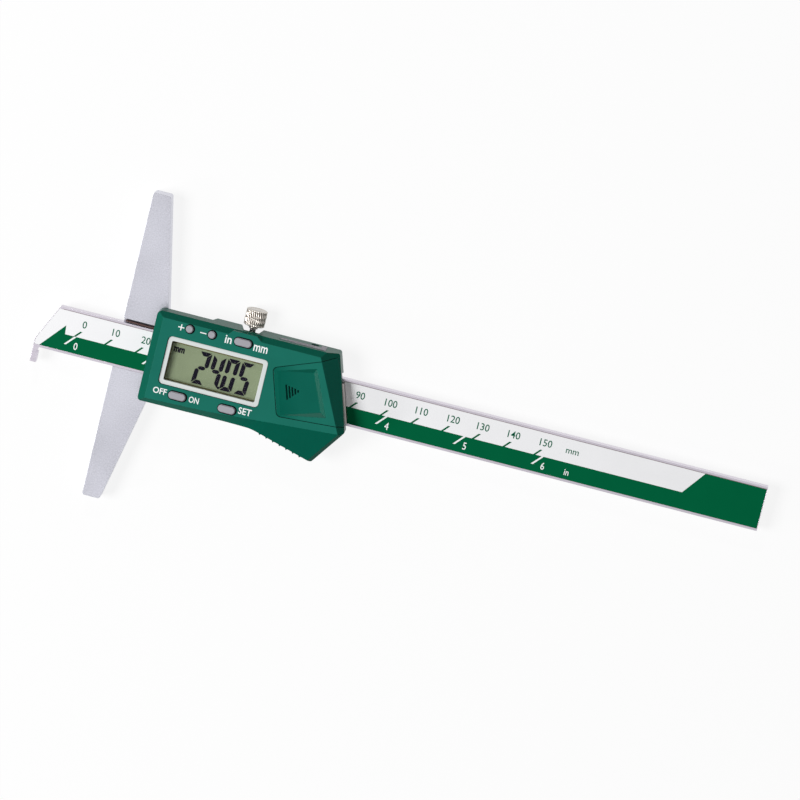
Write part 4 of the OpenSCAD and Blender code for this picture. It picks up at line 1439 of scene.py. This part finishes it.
@dataclass
class LockScrew:
    """The knurled screw, turned from one bar, in millimetres along its axis.

    Attributes:
        x: its place along the beam.
        z: its height.
        shank: the thread, the neck and the collar from the tip on, each corner as distance and radius.
        head_low: start of the knurled head.
        head_high: its free end.
        radius: radius of the head over the knurl.
        foot: the head's underside, each corner as distance from its start and radius.
        crown: its free end, each corner as distance from that end and radius.
        knurl_ends: where the knurl starts and ends, from the head's start and from its free end.
        rows: number of rings of points along the knurl.
        runout: length over which the knurl runs out at its ends.
        knurl_least: share of its depth that it keeps there.
        ridges: number of ridges round the head.
        ridge_steps: number of points round each.
        ridge_depth: depth of the knurl.
        climb: how far a ridge turns over the head's length, in ridges.
        crossing: share of the ridges that climb the other way.
        underside_shade: how dark the painted shade under the head is, as a depth of the knurl.
        free_end_darkness: how dark the free end is, as a depth of the knurl.
    """

    x: float = 40.4
    z: float = 1.3
    shank: Outline = ((9.22, 0.0), (9.22, 1.2), (13.6, 1.2), (13.6, 1.0), (15.4, 1.0), (15.5, 1.5),
                      (16.0, 1.5), (16.1, 1.25))
    head_low: float = 16.25
    head_high: float = 21.6
    radius: float = 3.38
    foot: Outline = ((0.0, 1.25), (0.0, 2.6), (0.05, 3.0))
    crown: Outline = ((0.0, 2.93), (0.0, 2.68), (0.0, 2.63), (-0.05, 2.53), (-0.05, 0.6), (-0.05, 0.0))
    knurl_ends: tuple[float, float] = (0.3, -0.25)
    rows: int = 40
    runout: float = 0.2
    knurl_least: float = 0.35
    ridges: int = 30
    ridge_steps: int = 8
    ridge_depth: float = 0.27
    climb: float = 1.5
    crossing: float = 0.3
    underside_shade: float = 0.8
    free_end_darkness: float = 0.29

    def profile(self) -> tuple[np.ndarray, np.ndarray, np.ndarray]:
        """Works out the turned profile.

        Returns:
            Distances along the axis, radii, and the share of the knurl's depth at each.
        """
        start, end = self.head_low + self.knurl_ends[0], self.head_high + self.knurl_ends[1]
        head = np.linspace(start, end, self.rows)
        share = np.clip(np.minimum(head - head[0], head[-1] - head) / self.runout, self.knurl_least, 1.0)
        before = np.vstack([self.shank, np.array(self.foot) + (self.head_low, 0.0)])
        behind = np.array(self.crown) + (self.head_high, 0.0)
        sides = np.stack([head, np.full(len(head), self.radius)], axis=1)
        along, radii = np.vstack([before, sides, behind]).T
        return along, radii, np.concatenate([np.zeros(len(before)), share, np.zeros(len(behind))])

    def extra_darkness(self, along: np.ndarray) -> np.ndarray:
        """Works out how dark the screw is made apart from the knurl: painted shade at the head's underside,
        and a darker free end.

        Args:
            along: distances along the axis.

        Returns:
            The darkness at each, as a depth of the knurl.
        """
        underside = (along >= self.head_low) & (along < self.head_low + self.knurl_ends[0])
        free_end = along > self.head_high + self.knurl_ends[1]
        return np.select([underside, free_end], [self.underside_shade, self.free_end_darkness], 0.0)

    def build(self, workshop: Workshop) -> None:
        """Turns the profile round the axis and cuts the knurl into it.

        The radius is r - depth * knurl * (c (1 - cos(n a + k s)) / 2 + (1 - c) (1 - cos(n a - k s)) / 2)
        with the angle a, the share s of the head's length, n ridges, the crossing share c and
        k = 2 pi * climb.

        Args:
            workshop: fits the piece.
        """
        along, radii, knurl = self.profile()
        angle = np.linspace(0.0, 2 * math.pi, self.ridges * self.ridge_steps, endpoint=False)[None, :]
        share = (along - self.head_low) / (self.head_high - self.head_low)
        way = 2 * math.pi * self.climb * share[:, None]
        one = (1 - np.cos(self.ridges * angle + way)) / 2
        other = (1 - np.cos(self.ridges * angle - way)) / 2
        valley = knurl[:, None] * (self.crossing * one + (1 - self.crossing) * other)
        radius = radii[:, None] - self.ridge_depth * valley
        distance = np.broadcast_to(along[:, None], radius.shape)
        grid = np.stack([self.x + radius * np.cos(angle), distance, self.z + radius * np.sin(angle)], axis=2)
        points, faces = turned(grid)
        piece = mesh_piece("knurled_lock_screw", points * MM, faces, smooth=True)
        # The mark holds the painted shade of the knurl's valleys and of the head's underside, and the darker
        # free end.
        dark = np.maximum(valley, self.extra_darkness(along)[:, None])
        mark = piece.data.attributes.new(VALLEY, "FLOAT", "POINT")
        mark.data.foreach_set("value", np.append(dark[1:-1].ravel(), [0.0, 0.0]))
        workshop.fit(piece, Finishes.KNURLED, "lock_screw")
        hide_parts("lock_screw")


def corners(bounds: tuple) -> list[list[float]]:
    """Turns a box into plain lists of numbers."""
    return [[float(value) for value in corner] for corner in bounds]


def main() -> None:
    """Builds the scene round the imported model."""
    logging.basicConfig(level=logging.INFO, format="%(name)s: %(message)s")
    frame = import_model()
    Studio().build()
    finishes = Finishes(SharedEffects())
    finishes.dress_nodes(frame["nodes"])
    workshop = Workshop(finishes)
    for assembly in (BeamScale, HousingLegends, ButtonGaps, DisplayReading, DoorArrow, LockScrew):
        assembly().build(workshop)


if __name__ == "__main__":
    main()
